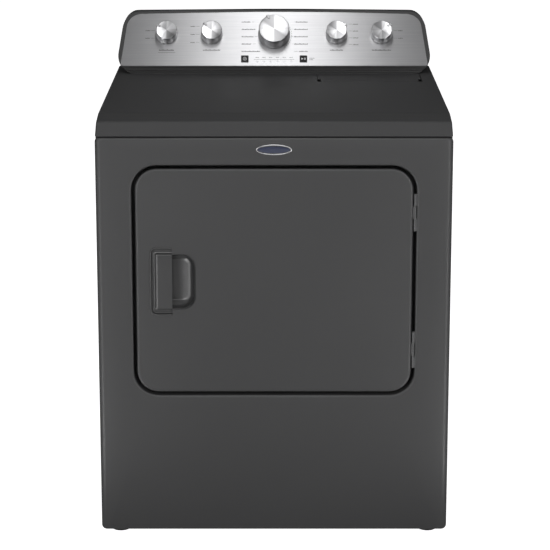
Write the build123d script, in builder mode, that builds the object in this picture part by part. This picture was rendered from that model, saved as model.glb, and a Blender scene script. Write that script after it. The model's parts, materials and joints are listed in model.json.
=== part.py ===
from build123d import *
import os
from math import cos, radians, sin, sqrt

os.makedirs("parts", exist_ok=True)

# A front-loading electric clothes dryer. Millimetres, +Z up, +X to the right of someone facing the
# door, the door on the -Y side. The origin is on the floor, under the middle of the whole machine.
# Depths are counted back from the front panel's face, heights from the floor.

# ---- cabinet
width = 737.0
cabinet_depth = 705.0
top_height = 905.0
sheet = 1.0
floor_gap = 10.0
top_skirt = 40.3
seam_gap = 3.0
front_wrap = 18.0
front_edge_radius = 7.0
panel_flange = 12.0
pan_flange = 30.0
lip_lean = 4.5
lip_rise = 10.0
lip_slope_depth = 50.0
lip_radius = 5.0
brow_radius = 26.0
side_lean = 3.5
top_edge_radius = 4.0
rail_inset = 14.0
rail_thickness = 6.0

# ---- door opening and door
door_side_margin = 80.5
door_height = 479.0
door_above_drum_axis = 17.0
door_corner = 45.0
door_gap = 8.5
seal_depth = 10.0
throat_width = 470.0
throat_height = 380.0
throat_corner = 150.0
liner_thickness = 2.0
liner_inset = 2.0
plug_clearance = 20.0
plug_depth = 14.0
seal_width = 8.0
seal_clearance = 0.4
seal_margin = 8.0

# ---- door hinges, catch and switch
hinge_depth = 1.5
hinge_radius = 2.6
hinge_pin_radius = 1.2
hinge_fit = 0.05
hinge_length = 79.0
hinge_spread = 295.0
knuckle_gap = 0.4
leaf_thickness = 1.2
leaf_depth = 24.0
catch_thickness = 3.0
catch_height = 24.0
catch_length = 20.0
catch_clearance = 3.5
catch_beyond_throat = 27.0
strike_wall = 8.0
strike_depth = 21.0
switch_above_catch = 120.0
plunger_radius = 3.0
plunger_fit = 0.05
plunger_stroke = 6.0
switch_size = 20.0
switch_height = 30.0
switch_depth = 24.0

# ---- door handle
handle_inset = 28.4
handle_rim_width = 47.0
handle_rim_height = 148.0
handle_rim_radius = 14.5
handle_rim_land = 3.5
handle_groove_depth = 2.6
pocket_width = 46.7
pocket_height = 115.0
pocket_radius = 28.0
pocket_wall = 2.0
pocket_depth = 23.0
pocket_reach = 33.0
pocket_clearance = 3.0
tab_width = 35.0
tab_height = 118.5
tab_proud = 0.8
tab_plate = 3.0
handle_fit = 0.2

# ---- console
console_setback = 125.0
console_rear_gap = 3.0
console_height = 138.0
console_wall = 3.5
console_side_inset = 2.5
console_draft = 21.0
console_corner = 40.0
console_arch = 6.0
console_lip_height = 7.0
console_band_height = 9.0
console_band_recess = 10.0
console_top_depth = 10.0
console_rear_drop = 7.0
fascia_tilt = 34.0
fascia_length = 137.5
fascia_thickness = 1.0
fascia_fit = 0.2
fascia_side_border = 9.5
fascia_top_border = 4.0
fascia_bottom_border = 2.4
fascia_overhang = 6.0
fascia_corner = 36.0
fascia_bottom_corner = 4.0

# ---- knobs, buttons and lights
knob_line = 80.0
knob_gap = 0.8
knob_shaft_radius = 3.0
knob_shaft_fit = 0.05
knob_hole_clearance = 1.0
skirt_thickness = 3.0
large_face_radius = 35.0
large_skirt_radius = 37.0
large_knob_height = 32.0
small_face_radius = 23.5
small_skirt_radius = 25.0
small_knob_height = 24.0
inner_knob_x = 144.0
outer_knob_x = 248.0
pointer_width = 5.0
pointer_reach = 2.5
pointer_length = 10.0
pointer_lift = 0.8
button_size = 16.6
button_x = 67.5
button_line = 17.0
button_proud = 1.8
button_travel = 1.5
button_gap = 0.4
button_flange = 2.0
light_line = 10.4
light_spacing = 15.6
light_radius = 1.5
light_count = 6
board_depth = 28.0
board_thickness = 1.6
board_length = 570.0
encoder_radius = 14.0

# ---- lint screen
lid_right_margin = 35.5
lid_width = 234.4
lid_length = 111.0
lid_thickness = 4.0
lid_gap = 1.0
lid_to_console = 5.0
notch_width = 7.0
notch_length = 45.0
tray_depth = 9.0
screen_width = 208.0
screen_height = 428.0
screen_depth = 20.0
screen_bar = 12.0
screen_clearance = 2.0
mesh_thickness = 0.8
duct_wall = 2.0
duct_depth = 36.0
duct_below_motor = 75.0

# ---- drum and its support
drum_radius = 332.0
drum_top_room = 33.0
drum_wall = 1.0
drum_front_gap = 7.0
drum_end_gap = 5.0
bulkhead_behind_recess = 13.0
rear_bulkhead_setback = 160.0
bulkhead_top_gap = 12.0
collar_gap = 9.0
collar_length = 24.0
glide_clearance = 0.4
glide_arc = 20.0
seal_ring_width = 8.0
seal_ring_gap = 1.0
baffle_height = 60.0
baffle_base = 70.0
baffle_top = 26.0
baffle_end_gap = 30.0
roller_radius = 38.0
roller_width = 20.0
roller_x = 175.0
roller_setback = 25.0
roller_shaft_radius = 6.0
running_fit = 0.05
grille_width = 170.0
grille_height = 170.0
grille_x = 205.0
grille_drop = 15.0
grille_slots = 12
grille_slot_height = 6.0

# ---- motor, blower, belt and idler
motor_right_margin = 178.5
motor_height = 135.0
motor_radius = 62.0
motor_front = 330.0
motor_length = 140.0
motor_foot_width = 90.0
motor_wall = 12.0
motor_foot_wall = 4.0
motor_vents = 6
motor_vent_radius = 9.0
motor_vent_ring = 37.2
motor_hub_reach = 8.0
motor_shaft_radius = 6.35
shaft_hole_radius = 8.0
belt_depth = 300.0
belt_width = 10.0
belt_thickness = 2.0
belt_clearance = 0.4
pulley_radius = 11.0
pulley_flange = 3.0
pulley_width = 16.0
idler_radius = 25.0
idler_along_span = 0.62
idler_arm_gap = 2.0
idler_arm_thickness = 4.0
idler_arm_half = 8.0
idler_pin_radius = 4.0
pivot_drop = 70.0
pivot_side = 50.0
blower_radius = 95.0
blower_depth = 85.0
blower_wall = 2.0
blower_inlet = 55.0
wheel_radius = 75.0
wheel_blades = 24
wheel_blade_depth = 18.0
wheel_blade_thickness = 1.2
wheel_end_gap = 10.0

# ---- exhaust, heater, terminals, rear screws
exhaust_height = 95.0
exhaust_radius = 50.5
exhaust_wall = 0.8
exhaust_stub = 25.0
exhaust_bead = 1.2
exhaust_hole_fit = 0.3
outlet_margin = 4.5
heater_width = 190.0
heater_depth = 94.0
heater_height = 300.0
heater_wall = 1.5
coil_radius = 3.0
coil_rows = 6
coil_pitch = 34.0
thermostat_radius = 9.0
thermostat_height = 12.0
terminal_left_margin = 88.5
terminal_below_top = 96.0
terminal_opening_width = 90.0
terminal_opening_height = 100.0
terminal_cover_lap = 6.0
terminal_cover_thickness = 1.2
terminal_block_width = 60.0
terminal_block_height = 40.0
terminal_block_depth = 20.0
bracket_setback = 26.0
bracket_leg_gap = 3.0
cord_hole_radius = 14.3
cord_collar_radius = 19.0
cord_collar_length = 6.0
cord_hole_drop = 80.0
screw_radius = 4.0
screw_head = 2.2
screw_shank_radius = 1.9
screw_hole_clearance = 0.2
screw_inset = 9.0
screw_pitch = 160.0
vent_columns = 7
vent_rows = 4
vent_width = 40.0
vent_height = 6.0
vent_gap = 12.0

# ---- feet and nameplate
foot_side_inset = 38.5
foot_front_inset = 36.0
foot_rear_inset = 45.0
foot_pad_radius = 19.0
foot_pad_height = 7.0
foot_stud_radius = 5.0
foot_stud_top = 55.0
foot_boss_radius = 11.0
foot_boss_height = 8.0
plate_width = 74.0
plate_height = 22.0
plate_proud = 1.2
plate_below_seam = 27.7

# ---- places worked out from the sizes above
half_width = width / 2
inner_half = half_width - sheet
front_y = plate_proud - (plate_proud + cabinet_depth + exhaust_stub) / 2
skirt_bottom = top_height - top_skirt
panel_top = skirt_bottom - seam_gap
door_thickness = pocket_depth + pocket_wall + pocket_clearance
liner_back = door_thickness + liner_thickness
recess_depth = liner_back + seal_depth
front_bulkhead_depth = recess_depth + bulkhead_behind_recess
drum_front = front_bulkhead_depth + drum_front_gap
pan_top = floor_gap + sheet
rear_inner = cabinet_depth - sheet
drum_height = top_height - drum_top_room - drum_radius
drum_inner = drum_radius - drum_wall
bulkhead_top = panel_top - bulkhead_top_gap
rear_bulkhead = cabinet_depth - rear_bulkhead_setback
drum_rear = rear_bulkhead - drum_end_gap
door_height_centre = drum_height + door_above_drum_axis
door_half = half_width - door_side_margin
door_width = 2 * door_half
hinge_x = door_half + door_gap / 2
catch_x = -(throat_width / 2 + catch_beyond_throat)
handle_left = handle_inset - door_half
pocket_left = handle_left + handle_rim_width
console_front = cabinet_depth - console_setback
fascia_foot_depth = console_front + fascia_overhang - console_band_recess / 5
fascia_foot_height = top_height + console_lip_height + console_band_height + fascia_bottom_border * cos(
    radians(fascia_tilt)
)
lid_right = half_width - lid_right_margin
lid_middle = lid_right - lid_width / 2
lid_back = console_front - lid_to_console
lid_front = lid_back - lid_length
tray_floor = top_height - tray_depth
duct_back = rear_bulkhead + sheet + duct_depth
duct_bottom_height = motor_height - duct_below_motor
screen_middle = rear_bulkhead + sheet + (duct_depth - duct_wall) / 2
motor_x = half_width - motor_right_margin
blower_back = duct_back + blower_depth
heater_x = -grille_x
terminal_x = terminal_left_margin - half_width
terminal_height = panel_top - terminal_below_top
foot_places = [
    (side * (half_width - foot_side_inset), depth)
    for depth in (foot_front_inset, cabinet_depth - foot_rear_inset)
    for side in (-1, 1)
]


# ---- helpers: where things are, and shapes in the part being built
def at_depth(depth):
    """The Y coordinate of a depth behind the front panel's face."""
    return front_y + depth


def upright(depth):
    """An upright plane at a depth, facing the front: its x to the right, its y up."""
    return Plane(origin=(0, at_depth(depth), 0), x_dir=(1, 0, 0), z_dir=(0, -1, 0))


def block(across, depths, heights, mode=Mode.ADD):
    """A box in the part being built, from where it starts and ends in each direction."""
    middle = (sum(across) / 2, at_depth(sum(depths) / 2), sum(heights) / 2)
    with Locations(middle):
        Box(across[1] - across[0], depths[1] - depths[0], heights[1] - heights[0], mode=mode)


def rod(x, height, radius, depths, mode=Mode.ADD):
    """A cylinder along Y in the part being built."""
    with Locations(Location((x, at_depth(sum(depths) / 2), height), (90, 0, 0))):
        Cylinder(radius, depths[1] - depths[0], mode=mode)


def door_outline(grow=0.0, mode=Mode.ADD):
    """The door's rounded rectangle in the sketch being drawn, grown on every side."""
    with Locations((0, door_height_centre)):
        RectangleRounded(door_width + 2 * grow, door_height + 2 * grow, door_corner + grow, mode=mode)


def throat_outline(grow=0.0, mode=Mode.ADD):
    """The loading opening's rounded rectangle in the sketch being drawn, grown on every side."""
    with Locations((0, door_height_centre)):
        RectangleRounded(
            throat_width + 2 * grow, throat_height + 2 * grow, throat_corner + grow, mode=mode
        )


def save(part, name):
    """Names a finished piece and writes it to its own file."""
    part.label = name
    export_step(part, f"parts/{name}.step")


# ---- the fascia's own plane: x to the right, y up the slope, z out of the metal
fascia_normal = Vector(0, -cos(radians(fascia_tilt)), sin(radians(fascia_tilt)))
fascia_up = Vector(0, sin(radians(fascia_tilt)), cos(radians(fascia_tilt)))
fascia_foot = Vector(0, at_depth(fascia_foot_depth), fascia_foot_height)


def fascia_plane(x=0.0, up=0.0, out=0.0):
    """The fascia's plane with its origin moved across, up the slope and out of the metal."""
    origin = fascia_foot + Vector(x, 0, 0) + fascia_up * up + fascia_normal * out
    return Plane(origin=origin, x_dir=(1, 0, 0), z_dir=fascia_normal)


def console_half(height):
    """Half the console's width at a height: its ends lean in towards the top."""
    return half_width - console_side_inset - console_draft * (height - top_height) / console_height


# ---- cabinet panels
def make_side_panel(name, side):
    """One flat side of the cabinet, with a flange along its top that the top panel rests on."""
    outer = side * half_width
    inner = side * inner_half
    with BuildPart() as side_panel:
        block(sorted((inner, outer)), (front_wrap, cabinet_depth), (floor_gap, panel_top))
        block(
            sorted((inner - side * panel_flange, inner)),
            (front_wrap, rear_inner),
            (panel_top - sheet, panel_top),
        )
    save(side_panel.part, name)


def make_base_pan():
    """The floor of the cabinet: a tray with upturned edges, foot bosses and the idler's post."""
    post_x = idler_pivot[0]
    arm_front = belt_depth + pulley_width / 2 + idler_arm_gap
    post_front = arm_front + idler_arm_thickness + running_fit
    with BuildPart() as base_pan:
        block((-inner_half, inner_half), (front_wrap, rear_inner), (floor_gap, pan_top + pan_flange))
        block(
            (sheet - inner_half, inner_half - sheet),
            (front_wrap + sheet, rear_inner - sheet),
            (pan_top, pan_top + 2 * pan_flange),
            mode=Mode.SUBTRACT,
        )
        for foot_x, foot_depth in foot_places:
            with Locations((foot_x, at_depth(foot_depth), pan_top + foot_boss_height / 2)):
                Cylinder(foot_boss_radius, foot_boss_height)
            with Locations((foot_x, at_depth(foot_depth), pan_top)):
                Cylinder(foot_stud_radius + running_fit, 4 * foot_boss_height, mode=Mode.SUBTRACT)
        block(
            (post_x - 2 * idler_pin_radius, post_x + 2 * idler_pin_radius),
            (post_front, post_front + 2 * idler_pin_radius),
            (pan_top, idler_pivot[1] + 2 * idler_pin_radius),
        )
        rod(post_x, idler_pivot[1], idler_pin_radius, (arm_front - 1, post_front))
    save(base_pan.part, "base_pan")


def make_front_panel():
    """The front skin with the door's recess, the flange the door closes on, and the throat."""
    with BuildPart() as front_panel:
        block((-half_width, half_width), (0, front_wrap), (floor_gap, panel_top))
        fronts = front_panel.edges().filter_by(Axis.Z).group_by(Axis.Y)[0]
        fillet(fronts, radius=front_edge_radius)
        block(
            (-inner_half, inner_half),
            (sheet, 2 * front_wrap),
            (floor_gap + sheet, panel_top - sheet),
            mode=Mode.SUBTRACT,
        )
        with BuildSketch(upright(recess_depth + sheet)):
            door_outline(grow=door_gap + sheet)
        extrude(amount=recess_depth + sheet)
        with BuildSketch(upright(recess_depth)):
            door_outline(grow=door_gap)
        extrude(amount=recess_depth, mode=Mode.SUBTRACT)
        with BuildSketch(upright(front_bulkhead_depth)):
            throat_outline(grow=sheet)
        extrude(amount=front_bulkhead_depth - recess_depth)
        with BuildSketch(upright(front_bulkhead_depth)):
            throat_outline()
        extrude(amount=front_bulkhead_depth, mode=Mode.SUBTRACT)
        catch_room = catch_thickness / 2 + catch_clearance
        catch_rise = catch_height / 2 + catch_clearance
        block(
            (catch_x - catch_room, catch_x + catch_room),
            (recess_depth, recess_depth + sheet),
            (door_height_centre - catch_rise, door_height_centre + catch_rise),
            mode=Mode.SUBTRACT,
        )
        rod(
            catch_x,
            door_height_centre + switch_above_catch,
            plunger_radius + 1,
            (recess_depth, recess_depth + sheet),
            mode=Mode.SUBTRACT,
        )
    save(front_panel.part, "front_panel")


def rear_screw_places():
    """Where the rear panel is screwed to the sides, from the bottom up."""
    rows = max(2, int((panel_top - floor_gap) / screw_pitch))
    first = floor_gap + screw_pitch / 4
    step = (panel_top - screw_pitch / 4 - first) / (rows - 1)
    edge = inner_half - screw_inset
    return [(side * edge, first + row * step) for row in range(rows) for side in (-1, 1)]


def make_rear_panel():
    """The back of the cabinet: exhaust hole, air slots, cord hole with its collar, terminal window."""
    terminal_low = terminal_height - terminal_opening_height / 2
    cord_height = terminal_low - cord_hole_drop + terminal_opening_height / 2
    shelf_half = terminal_block_width / 2 + 2 * screw_radius
    with BuildPart() as rear_panel:
        with BuildSketch(upright(cabinet_depth)):
            with Locations((0, (floor_gap + panel_top) / 2)):
                Rectangle(2 * inner_half, panel_top - floor_gap)
            with Locations((0, exhaust_height)):
                Circle(exhaust_radius + exhaust_hole_fit, mode=Mode.SUBTRACT)
            with Locations((terminal_x, terminal_height)):
                Rectangle(terminal_opening_width, terminal_opening_height, mode=Mode.SUBTRACT)
            with Locations((heater_x / 2, drum_height)):
                with GridLocations(vent_width + vent_gap, 4 * vent_height, vent_columns, vent_rows):
                    SlotOverall(vent_width, vent_height, mode=Mode.SUBTRACT)
            with Locations(*rear_screw_places()):
                Circle(screw_shank_radius + screw_hole_clearance, mode=Mode.SUBTRACT)
        extrude(amount=sheet)
        collar = (cabinet_depth - cord_collar_length, cabinet_depth)
        rod(terminal_x, cord_height, cord_collar_radius, collar)
        rod(
            terminal_x,
            cord_height,
            cord_hole_radius,
            (cabinet_depth - 2 * cord_collar_length, cabinet_depth + 1),
            mode=Mode.SUBTRACT,
        )
        block(
            (terminal_x - shelf_half, terminal_x + shelf_half),
            (cabinet_depth - bracket_setback - sheet, cabinet_depth - bracket_setback),
            (terminal_height - terminal_block_height / 2, terminal_height + terminal_block_height / 2),
        )
        for side in (-1, 1):
            leg = terminal_x + side * (terminal_opening_width / 2 + bracket_leg_gap)
            block(
                (leg - sheet, leg + sheet),
                (cabinet_depth - bracket_setback - sheet, rear_inner),
                (terminal_height - terminal_block_height / 2, terminal_height + terminal_block_height / 2),
            )
            block(
                sorted((terminal_x + side * shelf_half, leg)),
                (cabinet_depth - bracket_setback - sheet, cabinet_depth - bracket_setback),
                (terminal_height - terminal_block_height / 2, terminal_height + terminal_block_height / 2),
            )
    save(rear_panel.part, "rear_panel")


def top_form(inset):
    """The top panel's outer form, or with an inset the hollow under it, as one solid."""
    drop = 2 * top_skirt if inset else sheet
    low = skirt_bottom - drop
    front = at_depth(0)
    lip = (at_depth(lip_lean), top_height - lip_rise)
    brow = (at_depth(lip_lean + lip_slope_depth), top_height)
    back = at_depth(cabinet_depth)
    with BuildPart() as form:
        with BuildSketch(Plane.YZ.offset(-half_width)):
            with BuildLine():
                FilletPolyline(
                    (front, skirt_bottom), lip, brow, (back, top_height), radius=(lip_radius, brow_radius)
                )
                Polyline((back, top_height), (back, low), (front, low), (front, skirt_bottom))
            make_face()
            if inset:
                offset(amount=-inset, kind=Kind.INTERSECTION)
        extrude(amount=width)
        with BuildSketch(upright(cabinet_depth)):
            with BuildLine():
                Polyline(
                    (-half_width + inset, low),
                    (-half_width + inset, skirt_bottom),
                    (-half_width + inset + side_lean, top_height + inset),
                    (half_width - inset - side_lean, top_height + inset),
                    (half_width - inset, skirt_bottom),
                    (half_width - inset, low),
                    close=True,
                )
            make_face()
        extrude(amount=cabinet_depth, mode=Mode.INTERSECT)
    return form.part


def make_top_panel():
    """The top: a shallow cover with a sloped front edge, a tray for the lint lid, and two rails."""
    outer = top_form(0)
    hollow = top_form(sheet)
    tray_left = lid_right - lid_width - lid_gap
    tray_right = lid_right + lid_gap
    tray_front = lid_front - lid_gap
    tray_back = lid_back + lid_gap
    slot_half = screen_width / 2 + screen_clearance
    slot_reach = screen_depth / 2 + screen_clearance
    with BuildPart() as top_panel:
        add(outer)
        split(bisect_by=Plane.XY.offset(skirt_bottom), keep=Keep.TOP)
        rims = top_panel.edges().filter_by(Axis.Y).group_by(Axis.Z)[-1]
        fillet(rims, radius=top_edge_radius)
        add(hollow, mode=Mode.SUBTRACT)
        block(
            (tray_left - sheet, tray_right + sheet),
            (tray_front - sheet, tray_back + sheet),
            (tray_floor - sheet, top_height),
        )
        block(
            (tray_left, tray_right),
            (tray_front, tray_back),
            (tray_floor, top_height + 1),
            mode=Mode.SUBTRACT,
        )
        block(
            (lid_middle - slot_half, lid_middle + slot_half),
            (screen_middle - slot_reach, screen_middle + slot_reach),
            (tray_floor - 2 * sheet, tray_floor + 1),
            mode=Mode.SUBTRACT,
        )
        for side in (-1, 1):
            rail = side * (inner_half - rail_inset + rail_thickness)
            block(
                sorted((rail, rail - side * rail_thickness)),
                (lip_slope_depth + lip_lean, rear_inner - pan_flange),
                (panel_top, top_height - sheet),
            )
    save(top_panel.part, "top_panel")


# ---- door
def make_door_skin():
    """The door's outer pan, open at the back, with the handle's cut-out."""
    with BuildPart() as door_skin:
        with BuildSketch(upright(door_thickness)):
            door_outline()
        extrude(amount=door_thickness)
        with BuildSketch(upright(door_thickness)):
            door_outline(grow=-sheet)
        extrude(amount=door_thickness - sheet, mode=Mode.SUBTRACT)
        with BuildSketch(upright(sheet)):
            handle_outline(handle_fit)
        extrude(amount=sheet, mode=Mode.SUBTRACT)
    save(door_skin.part, "door_skin")


def make_door_inner():
    """The door's inner panel, with a shallow plug that reaches into the throat."""
    with BuildPart() as door_inner:
        with BuildSketch(upright(liner_back)):
            door_outline(grow=-liner_inset)
        extrude(amount=liner_thickness)
        with BuildSketch(upright(liner_back + plug_depth)):
            throat_outline(grow=-plug_clearance)
        extrude(amount=plug_depth)
        with BuildSketch(upright(liner_back + plug_depth - liner_thickness)):
            throat_outline(grow=-plug_clearance - liner_thickness)
        extrude(amount=plug_depth, mode=Mode.SUBTRACT)
    save(door_inner.part, "door_inner")


def make_door_seal():
    """The soft gasket on the door's inner panel, just clear of the flange it closes on."""
    with BuildPart() as door_seal:
        with BuildSketch(upright(recess_depth - seal_clearance)):
            throat_outline(grow=seal_margin + seal_width)
            throat_outline(grow=seal_margin, mode=Mode.SUBTRACT)
        extrude(amount=recess_depth - seal_clearance - liner_back)
    save(door_seal.part, "door_seal")


def handle_outline(grow=0.0):
    """The handle's outline in the sketch being drawn: a tall rim at the left, a pocket at the right."""
    rim_middle = handle_left + handle_rim_width / 2
    pocket_right = pocket_left + pocket_width + pocket_wall
    pocket_start = pocket_left - pocket_radius
    with Locations((rim_middle, door_height_centre)):
        rim = Rectangle(handle_rim_width + 2 * grow, handle_rim_height + 2 * grow)
        fillet(rim.vertices().group_by(Axis.X)[0], radius=handle_rim_radius + grow)
    with Locations(((pocket_start + pocket_right) / 2, door_height_centre)):
        RectangleRounded(
            pocket_right - pocket_start + 2 * grow,
            pocket_height + 2 * pocket_wall + 2 * grow,
            pocket_radius + grow,
        )


def make_door_handle():
    """The recessed pull: fingers go into the pocket at the right and hook behind the flat tab."""
    pocket_right = pocket_left + pocket_width
    cavity_left = pocket_left - pocket_reach
    with BuildPart() as door_handle:
        with BuildSketch(upright(pocket_depth + pocket_wall)):
            handle_outline()
        extrude(amount=pocket_depth + pocket_wall)
        with BuildSketch(upright(pocket_depth)):
            with Locations(((cavity_left + pocket_right) / 2, door_height_centre)):
                RectangleRounded(pocket_right - cavity_left, pocket_height, pocket_radius)
        extrude(amount=pocket_depth - tab_plate, mode=Mode.SUBTRACT)
        with BuildSketch(upright(pocket_depth)):
            with Locations(((cavity_left + pocket_right) / 2, door_height_centre)):
                RectangleRounded(pocket_right - cavity_left, pocket_height, pocket_radius)
            with Locations((pocket_left - tab_width, door_height_centre)):
                Rectangle(2 * tab_width, 2 * handle_rim_height, mode=Mode.SUBTRACT)
        extrude(amount=pocket_depth + 1, mode=Mode.SUBTRACT)
        with BuildSketch(upright(handle_groove_depth)):
            with Locations(((handle_left + handle_rim_land + pocket_left) / 2, door_height_centre)):
                groove = Rectangle(
                    handle_rim_width - handle_rim_land, handle_rim_height - 2 * handle_rim_land
                )
                fillet(
                    groove.vertices().group_by(Axis.X)[0], radius=handle_rim_radius - handle_rim_land
                )
            with Locations((pocket_left - tab_width / 2, door_height_centre)):
                Rectangle(tab_width, tab_height, mode=Mode.SUBTRACT)
        extrude(amount=handle_groove_depth + 1, mode=Mode.SUBTRACT)
        with BuildSketch(upright(0)):
            with Locations((pocket_left - tab_width / 2, door_height_centre)):
                Rectangle(tab_width, tab_height)
        extrude(amount=tab_proud)
    save(door_handle.part, "door_handle")


def hinge_levels():
    """The two heights at which the hinges sit."""
    return [door_height_centre + side * hinge_spread / 2 for side in (-1, 1)]


def make_door_hinge_leaves():
    """The door's half of both hinges: the middle knuckle, its web and a strap on the door's edge."""
    knuckle = hinge_length / 3 - knuckle_gap
    with BuildPart() as door_hinge_leaves:
        for level in hinge_levels():
            with Locations((hinge_x, at_depth(hinge_depth), level)):
                Cylinder(hinge_radius, knuckle)
            block(
                (door_half, hinge_x),
                (hinge_depth - leaf_thickness / 2, hinge_depth + leaf_thickness / 2),
                (level - knuckle / 2, level + knuckle / 2),
            )
            block(
                (door_half, door_half + leaf_thickness),
                (hinge_depth - leaf_thickness / 2, leaf_depth),
                (level - knuckle / 2, level + knuckle / 2),
            )
            with Locations((hinge_x, at_depth(hinge_depth), level)):
                Cylinder(hinge_pin_radius + hinge_fit, hinge_length, mode=Mode.SUBTRACT)
    save(door_hinge_leaves.part, "door_hinge_leaves")


def make_cabinet_hinge_leaves():
    """The cabinet's half of both hinges: outer knuckles, pins, and straps on the recess wall."""
    knuckle = hinge_length / 3 - knuckle_gap
    wall = door_half + door_gap
    with BuildPart() as cabinet_hinge_leaves:
        for level in hinge_levels():
            for side in (-1, 1):
                middle = level + side * hinge_length / 3
                with Locations((hinge_x, at_depth(hinge_depth), middle)):
                    Cylinder(hinge_radius, knuckle)
                block(
                    (hinge_x, wall),
                    (hinge_depth - leaf_thickness / 2, hinge_depth + leaf_thickness / 2),
                    (middle - knuckle / 2, middle + knuckle / 2),
                )
            block(
                (wall - leaf_thickness, wall),
                (hinge_depth + hinge_radius, leaf_depth),
                (level - hinge_length / 2, level + hinge_length / 2),
            )
            for side in (-1, 1):
                middle = level + side * hinge_length / 3
                block(
                    (wall - leaf_thickness, wall),
                    (hinge_depth, leaf_depth),
                    (middle - knuckle / 2, middle + knuckle / 2),
                )
            with Locations((hinge_x, at_depth(hinge_depth), level)):
                Cylinder(hinge_pin_radius, hinge_length - 2 * knuckle_gap)
    save(cabinet_hinge_leaves.part, "cabinet_hinge_leaves")


def make_door_catch():
    """The steel tongue on the door that the strike holds."""
    with BuildPart() as door_catch:
        block(
            (catch_x - catch_thickness / 2, catch_x + catch_thickness / 2),
            (liner_back, liner_back + catch_length),
            (door_height_centre - catch_height / 2, door_height_centre + catch_height / 2),
        )
        block(
            (catch_x - 3 * catch_thickness, catch_x + 3 * catch_thickness),
            (liner_back, liner_back + sheet),
            (door_height_centre - catch_height / 2, door_height_centre + catch_height / 2),
        )
    save(door_catch.part, "door_catch")


def make_door_strike():
    """The receiver behind the flange that grips the door's tongue."""
    room = catch_thickness / 2 + catch_clearance
    rise = catch_height / 2 + catch_clearance
    front = recess_depth + sheet
    with BuildPart() as door_strike:
        block(
            (catch_x - room - strike_wall, catch_x + room + strike_wall),
            (front, front + strike_depth),
            (door_height_centre - rise - strike_wall, door_height_centre + rise + strike_wall),
        )
        block(
            (catch_x - room, catch_x + room),
            (front, front + strike_depth - sheet),
            (door_height_centre - rise, door_height_centre + rise),
            mode=Mode.SUBTRACT,
        )
    save(door_strike.part, "door_strike")


def make_door_switch():
    """The switch behind the flange that tells the machine that the door is shut."""
    level = door_height_centre + switch_above_catch
    front = recess_depth + sheet
    with BuildPart() as door_switch:
        block(
            (catch_x - switch_size / 2, catch_x + switch_size / 2),
            (front, front + switch_depth),
            (level - switch_height / 2, level + switch_height / 2),
        )
        rod(
            catch_x,
            level,
            plunger_radius + plunger_fit,
            (front - 1, front + switch_depth - 2 * sheet),
            mode=Mode.SUBTRACT,
        )
    save(door_switch.part, "door_switch")


def make_door_switch_plunger():
    """The switch's plunger, held in by the shut door."""
    level = door_height_centre + switch_above_catch
    tip = liner_back + seal_clearance
    with BuildPart() as door_switch_plunger:
        rod(catch_x, level, plunger_radius, (tip, recess_depth + switch_depth - plunger_stroke))
    save(door_switch_plunger.part, "door_switch_plunger")


# ---- drum and what carries it
drum_axis = Axis((0, 0, drum_height), (0, 1, 0))


def make_front_bulkhead():
    """The sheet behind the front panel that holds the throat and the collar the drum's rim rides on."""
    collar = drum_inner - collar_gap
    with BuildPart() as front_bulkhead:
        with BuildSketch(upright(front_bulkhead_depth + sheet)):
            with Locations((0, (pan_top + bulkhead_top) / 2)):
                Rectangle(2 * inner_half - 2 * sheet, bulkhead_top - pan_top)
            throat_outline(mode=Mode.SUBTRACT)
        extrude(amount=sheet)
        with BuildSketch(upright(front_bulkhead_depth + collar_length)):
            with Locations((0, drum_height)):
                Circle(collar)
                Circle(collar - 2 * sheet, mode=Mode.SUBTRACT)
        extrude(amount=collar_length - sheet)
        for side in (-1, 1):
            block(
                sorted((side * inner_half, side * (inner_half - sheet))),
                (front_bulkhead_depth, front_bulkhead_depth + panel_flange),
                (pan_top + pan_flange, bulkhead_top),
            )
        strike_room = catch_clearance + strike_wall + sheet
        for above, half_across, half_high in (
            (0, catch_thickness / 2 + strike_room, catch_height / 2 + strike_room),
            (switch_above_catch, switch_size / 2 + sheet, switch_height / 2 + sheet),
        ):
            level = door_height_centre + above
            block(
                (catch_x - half_across, catch_x + half_across),
                (recess_depth, front_bulkhead_depth + 2 * sheet),
                (level - half_high, level + half_high),
                mode=Mode.SUBTRACT,
            )
    save(front_bulkhead.part, "front_bulkhead")


def make_front_glides():
    """Two slippery pads on the top of the collar, which carry the drum's front rim."""
    inner = drum_inner - collar_gap
    outer = drum_inner - glide_clearance
    collar_end = front_bulkhead_depth + collar_length
    with BuildPart() as front_glides:
        for start in (90 - 2 * glide_arc, 90 + glide_arc):
            turn = radians(start)
            radial = Plane(
                origin=(0, at_depth(0), drum_height),
                x_dir=(cos(turn), 0, sin(turn)),
                z_dir=(sin(turn), 0, -cos(turn)),
            )
            with BuildSketch(radial):
                with Locations(((inner + outer) / 2, -(drum_front + collar_end) / 2)):
                    Rectangle(outer - inner, collar_end - drum_front)
            revolve(axis=drum_axis, revolution_arc=-glide_arc)
    save(front_glides.part, "front_glides")


def make_drum_seals():
    """The felt rings between the drum's two ends and the bulkheads."""
    spans = (
        (front_bulkhead_depth + sheet, drum_front - seal_ring_gap),
        (drum_rear + seal_ring_gap, rear_bulkhead),
    )
    with BuildPart() as drum_seals:
        for span in spans:
            with BuildSketch(upright(span[1])):
                with Locations((0, drum_height)):
                    Circle(drum_radius)
                    Circle(drum_radius - seal_ring_width, mode=Mode.SUBTRACT)
            extrude(amount=span[1] - span[0])
    save(drum_seals.part, "drum_seals")


def make_drum():
    """The drum: an open steel cylinder."""
    with BuildPart() as drum:
        with BuildSketch(upright(drum_rear)):
            with Locations((0, drum_height)):
                Circle(drum_radius)
                Circle(drum_inner, mode=Mode.SUBTRACT)
        extrude(amount=drum_rear - drum_front)
    save(drum.part, "drum")


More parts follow.
